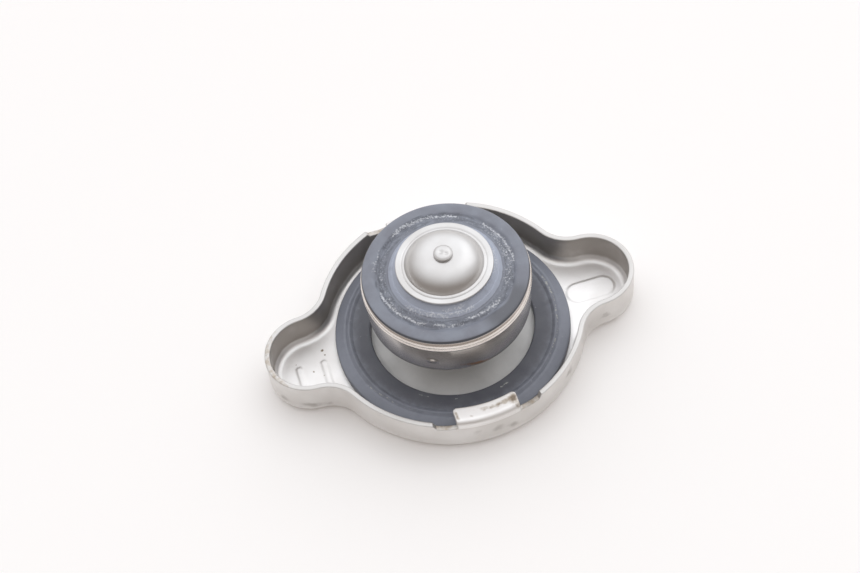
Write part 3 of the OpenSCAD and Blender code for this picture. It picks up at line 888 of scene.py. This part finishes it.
    def section(self, rim: Array) -> list[Array]:
        """Rows of the whole sheet: from the hole over the crown, up the skirt, over the rim and back inside.

        Args:
            rim: Height of the rim over each column.

        Returns:
            Places in blocks: recess, crown, bend, skirt, lip, inner wall, inner bend, floor and boss.
        """
        boss_r, boss_z = self.recess_r - self.crease, self.sheet + self.recess_h
        bend_in = self.bend_in[1] + (self.bend_in[0] - self.bend_in[1]) * self.body_share
        inner_edge = self.sheet + bend_in
        plain = np.linspace(*self.plain_rows)
        crown = np.concatenate((plain, np.linspace(*self.crown_rows)))
        floor = np.concatenate((plain, np.linspace(*self.floor_rows)))[::-1]
        lift = np.array(self.lift)[:, None]
        lip_in = self.edge_r * (1 - np.cos(self.nose))
        lip_up = rim - self.edge_r * (1 - np.sin(self.nose))
        bow_in, bow_up = 1 - np.sin(self.sweep), 1 - np.cos(self.sweep)
        recess = [
            (self.hole_r, self.recess_h, 0), (self.recess_r, self.recess_h, self.crease_fillet),
            (self.recess_r + self.recess_h, 0, self.crease_fillet), (self.flat_r, 0, 0),
        ]
        boss = [
            (self.flat_r, self.sheet, 0), (boss_r + self.recess_h, self.sheet, self.crease_fillet),
            (boss_r, boss_z, self.crease_fillet), (self.hole_r, boss_z, 0),
        ]
        return [
            self.rings(rounded(recess, closed=False)),
            self.flat(crown, 0.0, self.bend_r),
            self.wall(self.bend_r * bow_in, self.bend_r * bow_up),
            self.wall(0 * lift, self.bend_r + lift * (rim - self.edge_r - self.bend_r)),
            self.wall(
                np.concatenate((lip_in, (self.sheet - lip_in)[::-1])), np.concatenate((lip_up, lip_up[::-1]))
            ),
            self.wall(self.sheet + 0 * lift, inner_edge + lift[::-1] * (rim - self.edge_r - inner_edge)),
            self.wall(self.sheet + bend_in * bow_in[::-1], self.sheet + bend_in * bow_up[::-1]),
            self.flat(floor, self.sheet, inner_edge),
            self.rings(rounded(boss, closed=False)),
        ]

    def wear(self, grid: Array, starts: Array, rim: Array) -> dict[str, Array]:
        """Marks of wear and dirt on the sheet.

        Args:
            grid: Places of the sheet's rows.
            starts: First row of each block of the section.
            rim: Height of the rim over each column.

        Returns:
            By name, the marks for the edge, the skirt, painted shade on the drawn wall, scuffs and stains.
        """
        x, y, z = np.moveaxis(grid, 2, 0)
        row = np.arange(len(grid))[:, None]
        skirt_row, lip_row, wall_row, bend_row, floor_row = starts[3:8]
        edge = np.exp(-np.abs(z - rim) / self.wear_drop) * (row >= skirt_row) * (row < bend_row)
        chafed = eased(x, *self.chafe_band)
        sheared = np.where(self.on_body, eased(rim, *self.shear_band), 0)
        skirt = (row < lip_row) * eased(z, *self.skirt_band)
        return {
            "edge": edge,
            "skirt": skirt,
            # Painted shade on the inner walls
            "wall": (row >= wall_row) * (row < floor_row) * eased(z, *self.wall_shade_band),
            "scuff": skirt * (y < 0) * blots(x, z, self.scuffs),
            "stain": self.rim_dirt * edge * (sheared + chafed) + blots(x, y, self.grit) * (row >= floor_row),
        }

    def build(self) -> Surface:
        """Lays the sheet's section along the outline and swaps the rim for a tab at each cam.

        Returns:
            The closed shell with its marks for wear, scuffs and stain.
        """
        rim = self.rim()
        blocks = self.section(rim)
        grid = np.concatenate(blocks)
        starts = np.cumsum([0] + [len(block) for block in blocks])
        lip, inner = starts[4], starts[5]
        index = np.arange(grid.shape[0] * self.columns).reshape(-1, self.columns)
        points, faces, count = [grid.reshape(-1, 3)], [], index.size
        marks = {name: [values.ravel()] for name, values in self.wear(grid, starts, rim).items()}
        on_tab = np.zeros(self.columns, bool)
        for side in (-1, 1):
            at_side = self.on_body & (np.sign(self.place[:, 1]) == side)
            columns = np.flatnonzero(at_side & (np.abs(self.place[:, 0]) < self.tab_half + SAME_POINT))
            on_tab[columns[:-1]] = True
            strip, worn, soil = self.tab(columns)
            own = count + np.arange(strip.shape[0] * len(columns)).reshape(-1, len(columns))
            count += own.size
            ladder = np.concatenate((index[lip - 1 : lip, columns], own, index[inner : inner + 1, columns]))
            lip_rows = index[lip:inner]
            faces.append(grid_faces(ladder, close_columns=False))
            faces.append(np.concatenate((ladder[:, 0], lip_rows[::-1, columns[0]]))[None, :])
            faces.append(np.concatenate((ladder[::-1, -1], lip_rows[:, columns[-1]]))[None, :])
            points.append(strip.reshape(-1, 3))
            own_marks = {"edge": worn, "stain": soil}
            for name, values in marks.items():
                values.append(np.broadcast_to(own_marks.get(name, 0.0), strip.shape[:2]).ravel())
        row = np.arange(len(index))[:, None]
        open_rim = ~(on_tab[None, :] & (row >= lip - 1) & (row < inner))
        faces.append(grid_faces(index, close_rows=True)[open_rim.ravel()])
        return Surface(
            np.concatenate(points), faces, {name: np.concatenate(values) for name, values in marks.items()}
        )

    def dress(self) -> None:
        """Puts the shell into the scene."""
        put_piece(self.build(), "cap_shell", Body.CAP, SHELL.make())


@dataclass
class Spring:
    """Coil of round wire with one closed turn at each end. Sizes in mm."""

    node: str
    body: Body
    joint: str
    travel: float
    wire: float
    turns: int
    end_pitch: float = 1.03
    steps: int = 72
    sides: int = 14

    def build(self, extent: Extent) -> Surface:
        """Carries a circle of wire along a helix.

        The rise is slow over the first and last turn, where the coils touch, and even between.

        Args:
            extent: Size of the spring's CAD node.

        Returns:
            The closed coil.
        """
        wire_r, coil_r = self.wire / 2, extent.radius - self.wire / 2
        rise, step = extent.high - extent.low - self.wire, self.wire * self.end_pitch
        turn = np.linspace(0, self.turns, self.turns * self.steps + 1)[:, None]
        level = np.interp(turn, (0, 1, self.turns - 1, self.turns), (0, step, rise - step, rise))
        tilt = np.linspace(0, 2 * np.pi, self.sides, endpoint=False)[None, :]
        reach = coil_r + wire_r * np.cos(tilt)
        height = extent.low + wire_r + level + wire_r * np.sin(tilt)
        angle = 2 * np.pi * turn
        grid = np.stack((reach * np.cos(angle), reach * np.sin(angle), height), axis=-1)
        index = np.arange(grid.shape[0] * self.sides).reshape(-1, self.sides)
        skin = grid_faces(index)[:, ::-1]
        return Surface(grid.reshape(-1, 3), [skin, index[:1], index[-1:, ::-1]])

    def dress(self, material: bpy.types.Material, anchor: float) -> None:
        """Puts the spring into the scene.

        Args:
            material: Finish of the wire.
            anchor: Height in mm of the end that stays. Not used.
        """
        extent = Extent.of(self.node)
        piece = put_piece(self.build(extent), self.node, self.body, material)
        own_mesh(piece)


@dataclass
class Cage:
    """Rivet, friction plate, gasket, spring cage and main spring: all that the crown carries. Sizes in mm."""

    shank_r: float = 2.0
    rivet_head: float = 0.9
    rivet_tail_r: float = 3.3
    hole_r: float = 2.02
    soft: float = 0.3
    crisp: float = 0.08
    plate_t: float = 0.5
    plate_fold: float = 0.6
    plate_edge: float = 0.12
    plate_step: float = 0.6
    dish_r: float = 6.0
    shift: float = 0.207
    gasket_hole: float = 13.75
    gasket_fillets: tuple[float, float, float, float] = (0.1, 0.2, 0.4, 0.8)
    gasket_step: float = 0.4
    ridge_r: float = 17.35
    ridge: float = 0.35
    ridge_top: float = 0.12
    ridge_foot: float = 0.62
    ridge_fillet: float = 0.25
    border: float = 1.5
    border_drop: float = 0.6
    swell: float = 0.12
    lap: float = 0.02
    fade: float = 0.3
    sag: Waves = ((0.03, 3, 0.4), (0.02, 7, 1.3))
    # Radii over which the painted shade near the plunger gives way to pale bloom
    bloom_and_shade_band: Band = (13.6, 19.4)
    bloom_and_shade_waves: Waves = ((0.12, 5, 0.0),)
    crumbs: Arcs = (
        (218, 303, 14.65, 14.75, 0.14, 0.9), (192, 240, 17.9, 17.65, 0.16, 0.8),
        (-54, 14, 17.65, 17.55, 0.18, 0.85), (-2, 16, 17.6, 17.5, 0.3, 1.0),
        (284, 292, 15.1, 15.0, 0.2, 0.9),
    )
    cage_t: float = 0.8
    cage_bend: float = 1.4
    cage_edge: float = 0.15
    cage_r: float = 8.8
    wire: float = 1.4
    turns: int = 5
    travel: float = 4.5

    def rivet(self) -> Surface:
        """Head below, shank, and tail upset above: one outline spun from pole to pole.

        Returns:
            The closed surface.
        """
        size = Extent.of("crown_rivet")
        head_top = size.low + self.rivet_head
        tail = Extent.of("spring_cage").low + self.cage_t + self.lap
        return turned(rounded([
            (0, size.low, 0), (size.radius, size.low, self.soft), (size.radius, head_top, self.crisp),
            (self.shank_r, head_top, 0), (self.shank_r, tail, 0), (self.rivet_tail_r, tail, self.crisp),
            (self.rivet_tail_r, size.high, self.soft), (0, size.high, 0),
        ], closed=False), poles=True)

    def plate(self) -> Surface:
        """Thin disc, dished up over the boss of the crown: one closed outline spun round.

        Returns:
            The closed surface.
        """
        size = Extent.of("friction_plate")
        low, top = size.low, size.low + self.plate_t
        drop = size.high - size.low - self.plate_t
        foot_r = self.dish_r + drop
        return turned(refined(rounded([
            (self.hole_r, low + drop, 0), (self.dish_r, low + drop, self.soft),
            (foot_r, low, self.plate_fold), (size.radius, low, self.plate_edge),
            (size.radius, top, self.plate_edge),
            (foot_r + self.shift, top, self.soft), (self.dish_r + self.shift, size.high, self.plate_fold),
            (self.hole_r, size.high, 0),
        ]), self.plate_step))

    def gasket(self) -> Surface:
        """Rubber ring with a sealing ridge and a sloping border, which laps over the plate.

        Returns:
            The closed surface, with its marks for pale bloom with painted shade near the plunger, and for
            crumbs of dirt.
        """
        size, plate = Extent.of("upper_gasket"), Extent.of("friction_plate")
        face = size.high - self.ridge
        border_z = face - self.border_drop
        step_z = plate.low + self.plate_t + self.lap
        step_r, outer_r = plate.radius + self.lap, size.radius + self.swell
        under_edge, foot_edge, side_edge, border_edge = self.gasket_fillets
        path = refined(rounded([
            (self.gasket_hole, step_z, under_edge), (step_r, step_z, 0), (step_r, size.low, 0),
            (outer_r, size.low, foot_edge), (outer_r, border_z, side_edge),
            (outer_r - self.border, face, border_edge),
            (self.ridge_r + self.ridge_foot, face, self.ridge_fillet),
            (self.ridge_r + self.ridge_top, size.high, self.ridge_fillet),
            (self.ridge_r - self.ridge_top, size.high, self.ridge_fillet),
            (self.ridge_r - self.ridge_foot, face, self.ridge_fillet),
            (self.gasket_hole, face, self.soft),
        ]), self.gasket_step)
        angle = round_angle()
        radius, height = path[:, :1], path[:, 1:]
        sag = np.minimum(waves(angle, self.sag), 0) * eased(height, face - self.fade, face)
        surface = spun(radius + 0 * angle, height + sag)
        on_top = eased(height, border_z - self.fade, border_z)
        surface.marks = {
            # Painted shade near the plunger, pale bloom further out
            "bloom_and_shade": (eased(radius + waves(angle, self.bloom_and_shade_waves), *self.bloom_and_shade_band) * on_top).ravel(),
            "crumbs": (ribbons(self.crumbs, radius, angle) * on_top).ravel(),
        }
        return surface

    def cage(self) -> Surface:
        """Drawn cup with a brim: one closed outline spun round.

        Returns:
            The closed surface.
        """
        size = Extent.of("spring_cage")
        inner_r, bend_in = self.cage_r - self.cage_t, self.cage_bend - self.cage_t
        floor, brim = size.low + self.cage_t, size.high - self.cage_t
        return turned(rounded([
            (self.hole_r, size.low, 0), (self.cage_r, size.low, self.cage_bend), (self.cage_r, brim, bend_in),
            (size.radius, brim, self.cage_edge), (size.radius, size.high, self.cage_edge),
            (inner_r, size.high, self.cage_bend), (inner_r, floor, bend_in), (self.hole_r, floor, 0),
        ]))

    def dress(self, rivet: bpy.types.Material, plate: bpy.types.Material, wire: bpy.types.Material) -> None:
        """Puts the pieces into the scene.

        Args:
            rivet: Finish of the rivet.
            plate: Finish of the friction plate and the cage.
            wire: Finish of the main spring.
        """
        put_piece(self.rivet(), "crown_rivet", Body.CAGE, rivet)
        put_piece(self.plate(), "friction_plate", Body.CAGE, plate)
        put_piece(self.gasket(), "upper_gasket", Body.CAGE, GASKET.make())
        put_piece(self.cage(), "spring_cage", Body.CAGE, plate)
        spring = Spring("main_spring", Body.CAGE, "pressure_slide", self.travel, self.wire, self.turns)
        spring.dress(wire, Extent.of("main_spring").low)


@dataclass
class Plunger:
    """Cup with a rolled rim, its seal and the vacuum spring. Sizes in mm, bearings in degrees."""

    cup_t: float = 0.7
    wall_r: float = 13.5
    lip_r: float = 10.3
    lip_edge: float = 0.15
    curl: float = 2.4
    curl_steps: int = 14
    bead_r: float = 1.0
    bead_steps: tuple[int, int, int] = (12, 24, 9)
    band_h: float = 0.5
    cup_step: float = 0.1
    skin: float = 0.1
    seam: tuple[float, float] = (0.16, 0.2)
    slot_half: float = 0.27
    pip: tuple[float, float, float, float] = (-117.3, 12.8, 0.2, 0.32)
    tint: tuple[float, float, float, float] = (-86.0, 10.75, 11.0, 0.45)
    tint_slope: float = 0.05
    seal_hole: float = 5.22
    fit: float = 0.02
    seal_fillets: tuple[float, ...] = (0, 0.08, 0.06, 0.1, 0.58, 0.25, 0.2, 0.06, 0.2, 0.15, 0.1, 0)
    seal_step: float = 0.14
    head_z: float = 18.04
    face_z: float = 18.77
    collar: tuple[float, float, float] = (9.3, 8.7, 19.37)
    collar_fade: float = 0.15
    seat: tuple[float, float, float] = (8.5, 7.6, 6.8)
    well_z: float = 18.29
    wear_r: float = 10.95
    wear_half: float = 0.42
    wear_depth: float = 0.3
    wear_drift: Waves = ((0.1, 2, 0.6), (0.05, 9, 0.0))
    wear_swell: Waves = ((0.2, 3, 1.0), (0.12, 11, 0.0))
    ruck: tuple[float, float, float] = (0.03, 23, 3.0)
    ruck_in: Band = (9.6, 10.2)
    ruck_out: Band = (12.2, 11.4)
    crown: tuple[float, float] = (12.2, 0.1)
    top_band: Band = (-0.3, -0.1)
    # Depth below the top face over which the painted shade on the side comes in
    side_shade_band: Band = (0.1, 0.32)
    crust: Arcs = (
        (57, 130, 10.65, 11.45, 0.36, 1.0), (-16, 46, 11.1, 10.75, 0.34, 1.0),
        (-32, 12, 8.1, 8.4, 0.45, 0.75), (138, 166, 11.6, 11.45, 0.4, 0.6),
        (178, 240, 11.05, 10.5, 0.28, 1.1), (204, 282, 9.3, 7.9, 0.5, 0.75),
        (270, 312, 9.95, 10.55, 0.4, 0.95), (-44, 44, 10.2, 10.3, 1.0, 0.62),
        (240, 275, 10.5, 10.6, 0.4, 0.7), (228, 290, 8.9, 8.7, 0.5, 0.9),
        (150, 215, 10.2, 10.4, 0.7, 0.42),
    )
    damp: tuple[float, float, float] = (-52.0, 37.0, 11.0)
    damp_core: float = 0.2
    damp_fade: float = 0.8
    damp_waves: Waves = ((0.3, 9, 0.0),)
    worn_edge: tuple[tuple[float, float], ...] = (
        (-151, 11.95), (-106, 11.3), (-93, 11.0), (-57, 11.6), (-33, 11.7), (29, 11.3), (63, 11.9),
        (99, 12.2), (165, 11.6),
    )
    worn_start: float = 0.4
    worn_band: Band = (-0.35, 0.55)
    worn_waves: Waves = ((0.08, 21, 0.0),)
    wire: float = 0.4
    turns: int = 4
    travel: float = 1.8

    def cup(self) -> Surface:
        """Deep cup: curled lip below, straight wall, and a rim rolled over the valve plate's edge.

        The rim's section is an obround with a shallow seam round its straight band. A pip stands on the wall.

        Returns:
            The closed surface, with its mark for the tinted streak.
        """
        size = Extent.of("plunger_cup")
        inner_r = self.wall_r - self.cup_t
        rim_x, high = size.radius - self.bead_r, size.high - self.bead_r
        low, inner_rim = high - self.band_h, rim_x - self.bead_r
        lip_top, wall_top = size.low + self.cup_t, low - self.bead_r
        grip = math.degrees(math.asin(self.slot_half / self.bead_r))
        outer_foot = -math.degrees(math.acos((self.wall_r - rim_x) / self.bead_r))
        inner_foot = -math.degrees(math.acos((inner_r - rim_x) / self.bead_r))
        wall = rounded([
            (self.lip_r, lip_top, self.lip_edge), (self.lip_r, size.low, self.lip_edge),
            (self.wall_r, size.low, self.curl), (self.wall_r, wall_top, 0),
        ], closed=False, steps=self.curl_steps)[1:-1]
        back = rounded([
            (inner_r, wall_top, 0), (inner_r, lip_top, self.curl - self.cup_t),
            (self.lip_r, lip_top, self.lip_edge), (self.lip_r, size.low, self.lip_edge),
        ], closed=False, steps=self.curl_steps)
        back = back[1 : np.argmin(back[:, 0]) + 1]
        slot_r, slot_top, slot_foot = rim_x + self.slot_half, high + self.slot_half, high - self.slot_half
        foot_steps, top_steps, back_steps = self.bead_steps
        path = refined(distinct(np.concatenate((
            wall,
            arc((rim_x, low), self.bead_r, outer_foot, 0, foot_steps),
            arc((rim_x, high), self.bead_r, 0, 180 - grip, top_steps),
            [(slot_r, slot_top), (slot_r, slot_foot), (inner_rim, slot_foot)],
            arc((rim_x, low), self.bead_r, -180, inner_foot, back_steps),
            back,
        ))), self.cup_step)
        angle = round_angle()
        radius, height = path[:, :1], path[:, 1:]
        depth, half = self.seam
        on_rim = radius > self.wall_r + self.skin
        seam = depth * np.exp(-(((height - (low + high) / 2) / half) ** 2)) * on_rim
        bearing, level, rise, spread = self.pip
        along = turn_from(angle, bearing) * self.wall_r
        swell = rise * np.exp(-(along**2 + (height - level) ** 2) / (2 * spread**2))
        outside = radius > self.wall_r - self.skin
        surface = spun(radius - seam + swell * outside, height + 0 * angle)
        bearing, level, wide, tall = self.tint
        away = np.degrees(turn_from(angle, bearing))
        streak = blots(away, height + self.tint_slope * away, ((0, level, wide, tall, 1),))
        surface.marks = {"tint": (streak * (radius > inner_r + 2 * self.skin)).ravel()}
        return surface

    def seal(self) -> Surface:
        """Rubber disc: head over the cup's rim, hollow worn by the neck's seat, collar and seat lip.

        The worn hollow is a bell curve across the radius, whose middle and depth drift round the axis. Crust
        lies along arcs whose radius drifts from one bearing to another.

        Returns:
            The closed surface, with its marks for crust, damp, wear, collar and painted shade on the side.
        """
        size = Extent.of("lower_seal")
        slope_r, collar_r, collar_z = self.collar
        foot_r, seat_out, seat_in = self.seat
        spigot_r = Extent.of("plunger_cup").radius - 2 * self.bead_r - self.fit
        places = [
            (self.seal_hole, size.low), (spigot_r, size.low), (spigot_r, self.head_z),
            (size.radius, self.head_z), (size.radius, self.face_z), (slope_r, self.face_z),
            (collar_r, collar_z), (foot_r, collar_z), (seat_out, size.high), (seat_in, size.high),
            (seat_in, self.well_z), (self.seal_hole, self.well_z),
        ]
        corners = [(*place, fillet) for place, fillet in zip(places, self.seal_fillets)]
        path = refined(rounded(corners), self.seal_step)
        angle = round_angle()
        radius, height = path[:, :1], path[:, 1:]
        middle = self.wear_r + waves(angle, self.wear_drift)
        depth = self.wear_depth * (1 + waves(angle, self.wear_swell))
        hollow = depth * np.exp(-(((radius - middle) / self.wear_half) ** 2))
        ruck_h, ruck_count, ruck_slant = self.ruck
        ruck = ruck_h * np.sin(ruck_count * angle + ruck_slant * radius)
        ruck = ruck * eased(radius, *self.ruck_in) * eased(radius, *self.ruck_out)
        crown_r, crown_drop = self.crown
        crown = crown_drop * np.clip((radius - crown_r) / (size.radius - crown_r), 0, 1) ** 2
        face = eased(height, self.face_z - self.skin, self.face_z) * (radius > slope_r - self.skin)
        surface = spun(radius + 0 * angle, height - face * (hollow + ruck + crown))
        on_top = eased(height - self.face_z, *self.top_band)
        bearing, half, inner = self.damp
        away = np.abs(np.degrees(turn_from(angle, bearing)))
        wet = eased(away, half, self.damp_core * half)
        wet = wet * eased(radius + waves(angle, self.damp_waves), inner, inner + self.damp_fade)
        edge_at, edge_r = np.array(self.worn_edge).T
        edge = np.interp(np.degrees(angle), edge_at, edge_r, period=360) + waves(angle, self.worn_waves)
        worn = eased(radius, slope_r, slope_r + self.worn_start) * eased(edge - radius, *self.worn_band)
        marks = {
            "crust": ribbons(self.crust, radius, angle) * on_top,
            "damp": wet * on_top,
            "worn": worn * on_top,
            "collar": eased(radius, slope_r, slope_r - self.collar_fade),
            # Painted shade down the seal's side
            "side": eased(self.face_z - height, *self.side_shade_band) * (radius > spigot_r),
        }
        surface.marks = {name: (mark + 0 * angle).ravel() for name, mark in marks.items()}
        return surface

    def dress(self, wire: bpy.types.Material) -> None:
        """Puts the pieces into the scene.

        Args:
            wire: Finish of the vacuum spring.
        """
        put_piece(self.cup(), "plunger_cup", Body.PLUNGER, CUP.make())
        put_piece(self.seal(), "lower_seal", Body.PLUNGER, SEAL.make())
        spring = Spring("vacuum_spring", Body.PLUNGER, "vacuum_slide", self.travel, self.wire, self.turns)
        spring.dress(wire, Extent.of("vacuum_spring").high)


@dataclass
class VacuumValve:
    """Domed disc and the pin that carries it. Sizes in mm."""

    sheet: float = 0.6
    foot_r: float = 6.4
    flat_r: float = 2.78
    shoulder: float = 4.0
    hole_r: float = 1.02
    brim_edge: float = 0.2
    brim_fold: float = 0.16
    crown_start: float = 5.0
    crown_clear: float = 0.02
    dome_steps: tuple[int, int] = (24, 20)
    dome_step: float = 0.08
    groove: tuple[float, float, float] = (6.86, 0.07, 0.1)
    skin: float = 0.05
    pin_r: float = 1.0
    tail_r: float = 1.4
    tail_h: float = 0.5
    head_h: float = 0.7
    pin_fillets: tuple[float, float, float, float] = (0.12, 0.08, 0.1, 0.45)
    pin_step: float = 0.09
    dish: float = 0.2
    dish_start: float = 0.3
    dents: Spots = ((-0.3, 0.1, 0.4, 0.4, 0.2), (0.4, -0.45, 0.3162, 0.3162, 0.16))

    def dome(self) -> Surface:
        """Border with a shallow groove and a dome with a wide round shoulder: one closed outline spun round.

        Returns:
            The closed surface.
        """
        size = Extent.of("vacuum_valve")
        brim = size.low + self.sheet
        middle = (self.flat_r, size.high - self.shoulder)
        inner = self.shoulder - self.sheet
        rise = math.asin((brim - middle[1]) / self.shoulder)
        under = math.asin((size.low - middle[1]) / inner)
        foot = rounded([
            (middle[0] + inner * math.cos(under), size.low, 0), (size.radius, size.low, self.brim_edge),
            (size.radius, brim, self.brim_fold), (self.foot_r, brim, self.brim_fold),
            (self.foot_r - math.sin(rise), brim + math.cos(rise), 0),
        ], closed=False)[:-2]
        outer_steps, inner_steps = self.dome_steps
        crown = arc(middle, self.shoulder, math.degrees(rise) + self.crown_start, 90, outer_steps)
        crown = crown[crown[:, 1] > foot[-1, 1] + self.crown_clear]
        path = refined(np.concatenate((
            foot, crown, [(self.hole_r, size.high), (self.hole_r, size.high - self.sheet)],
            arc(middle, inner, 90, math.degrees(under), inner_steps)[:-1],
        )), self.dome_step)
        middle_r, depth, width = self.groove
        on_brim = path[:, 1] > brim - self.skin
        path[:, 1] -= depth * np.exp(-(((path[:, 0] - middle_r) / width) ** 2)) * on_brim
        return turned(path)

    def pin(self) -> Surface:
        """Pin with a washer end below and a peened head, dished and dented by the punch.

        Returns:
            The closed surface.
        """
        size = Extent.of("vacuum_stem")
        head_r = size.radius
        tail, head = size.low + self.tail_h, size.high - self.head_h
        foot_edge, tail_edge, head_edge, peen = self.pin_fillets
        path = refined(rounded([
            (0, size.low, 0), (self.tail_r, size.low, foot_edge), (self.tail_r, tail, tail_edge),
            (self.pin_r, tail, 0), (self.pin_r, head, 0), (head_r, head, head_edge),
            (head_r, size.high, peen), (0, size.high, 0),
        ], closed=False), self.pin_step, closed=False)
        angle = round_angle()
        radius, height = path[:, :1], path[:, 1:]
        top = eased(height, head + self.dish_start, size.high)
        dents = blots(radius * np.cos(angle), radius * np.sin(angle), self.dents)
        dish = self.dish * (radius / head_r) ** 2 + dents
        return spun(radius + 0 * angle, height - top * dish, poles=True)

    def dress(self, material: bpy.types.Material) -> None:
        """Puts the pieces into the scene with one finish."""
        put_piece(self.dome(), "vacuum_valve", Body.VACUUM, material)
        put_piece(self.pin(), "vacuum_stem", Body.VACUUM, material)


# Studio


@dataclass(frozen=True)
class PhotoCamera:
    """Camera of the photograph, fitted to its outlines. Angles in degrees, lengths in mm."""

    azimuth: float = -9.731
    elevation: float = 55.79
    roll: float = 8.292
    distance: float = 309.452
    target: tuple[float, float, float] = (-1.032, 10.389, 0.0)
    focal_px: float = 1800.0
    width_px: float = 860.0
    sensor: float = 36.0
    nearest: float = 10.0

    def back(self) -> Vector:
        """Direction from the cap to the camera.

        Returns:
            The direction, of length one.
        """
        azimuth, elevation = math.radians(self.azimuth), math.radians(self.elevation)
        flat = math.cos(elevation)
        return Vector((math.sin(azimuth) * flat, -math.cos(azimuth) * flat, math.sin(elevation)))

    def build(self) -> None:
        """Puts the camera into the scene."""
        back, roll = self.back(), math.radians(self.roll)
        right = (-back).cross(Vector((0, 0, 1))).normalized()
        up = right.cross(-back)
        level = right * math.cos(roll) - up * math.sin(roll)
        tall = right * math.sin(roll) + up * math.cos(roll)
        place = (Vector(self.target) + back * self.distance) * MM
        lens = bpy.data.cameras.new("photo_camera")
        lens.sensor_fit, lens.sensor_width = "HORIZONTAL", self.sensor
        lens.lens = self.focal_px / self.width_px * self.sensor
        lens.clip_start = self.nearest * MM
        camera = bpy.data.objects.new("photo_camera", lens)
        camera.matrix_world = Matrix((level, tall, back)).transposed().to_4x4()
        camera.matrix_world.translation = place
        bpy.context.scene.collection.objects.link(camera)
        bpy.context.scene.camera = camera
        LOG.info("camera at %s", [round(value, 4) for value in place])


@dataclass(frozen=True)
class Studio:
    """White table in a room that is bright behind and above and dims towards the front, with one broad lamp.

    Lengths are in metres, but for the gap below the cap, which is in mm.
    """

    table: str = "#fdfbf9"
    table_rough: float = 0.7
    room: str = "#fbfcff"
    dim: str = "#87807b"
    room_light: float = 1.48
    bright_from: tuple[float, float, float] = (0.2, 0.5, 0.8)
    fade: tuple[float, float] = (0.05, 0.95)
    lamp_from: tuple[float, float, float] = (0.7, 0.4, 0.85)
    lamp_size: float = 1.0
    lamp_watts: float = 0.8
    table_size: float = 6.0
    table_gap: float = 0.02

    def build(self) -> None:
        """Puts table, room light and lamp into the scene."""
        half = self.table_size / 2
        mesh = bpy.data.meshes.new("table")
        level = -self.table_gap * MM
        corners = [(x * half, y * half, level) for x, y in ((-1, -1), (1, -1), (1, 1), (-1, 1))]
        mesh.from_pydata(corners, [], [(0, 1, 2, 3)])
        paint = bpy.data.materials.new("matt white table paint")
        paint.use_nodes = True
        shader = paint.node_tree.nodes["Principled BSDF"]
        shader.inputs["Base Color"].default_value = linear(self.table)
        shader.inputs["Roughness"].default_value = self.table_rough
        mesh.materials.append(paint)
        table = bpy.data.objects.new("table", mesh)
        bpy.context.scene.collection.objects.link(table)
        self.light_room()
        lamp = bpy.data.lights.new("broad_lamp", "AREA")
        lamp.size, lamp.energy = self.lamp_size, self.lamp_watts
        holder = bpy.data.objects.new("broad_lamp", lamp)
        holder.location = self.lamp_from
        holder.rotation_euler = Vector(self.lamp_from).to_track_quat("Z", "Y").to_euler()
        bpy.context.scene.collection.objects.link(holder)

    def light_room(self) -> None:
        """Lights the room from its bright side, fading evenly to the dim one."""
        world = bpy.data.worlds.new("white_room")
        bpy.context.scene.world = world
        world.use_nodes = True
        tree = world.node_tree
        tree.nodes.clear()
        way = add(tree, "ShaderNodeTexCoord", None, "Generated")
        bright = tuple(Vector(self.bright_from).normalized())
        near = add(tree, "ShaderNodeVectorMath", {0: way, 1: bright}, "Value", operation="DOT_PRODUCT")
        low, high = self.fade
        share = add(tree, "ShaderNodeMapRange", {"Value": near, "From Min": low, "From Max": high})
        tones = {0: share, 6: linear(self.dim), 7: linear(self.room)}
        wall = add(tree, "ShaderNodeMix", tones, 2, data_type="RGBA")
        light = add(tree, "ShaderNodeBackground", {"Color": wall, "Strength": self.room_light})
        add(tree, "ShaderNodeOutputWorld", {"Surface": light})


def repaint(frame: dict, node: str, material: bpy.types.Material) -> None:
    """Gives a CAD node that stays as it is a better finish.

    Args:
        frame: The loaded frame.
        node: Name of the CAD node.
        material: Its new finish.
    """
    for slot in frame["nodes"][node].material_slots:
        slot.material = material
    LOG.info("%s: CAD shape kept", node)


def main() -> None:
    """Builds the pieces in order, then the studio."""
    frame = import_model()
    bpy.context.scene.view_settings.view_transform = "Standard"
    PhotoCamera().build()
    rivet, plate, wire, valve = RIVET.make(), PLATE.make(), SPRING.make(), VALVE.make()
    PressedShell().dress()
    Cage().dress(rivet, plate, wire)
    Plunger().dress(wire)
    VacuumValve().dress(valve)
    repaint(frame, "valve_plate", plate)
    repaint(frame, "seal_ferrule", rivet)
    repaint(frame, "stem_washer", rivet)
    Studio().build()


if __name__ == "__main__":
    logging.basicConfig(level=logging.INFO, format="%(message)s")
    main()
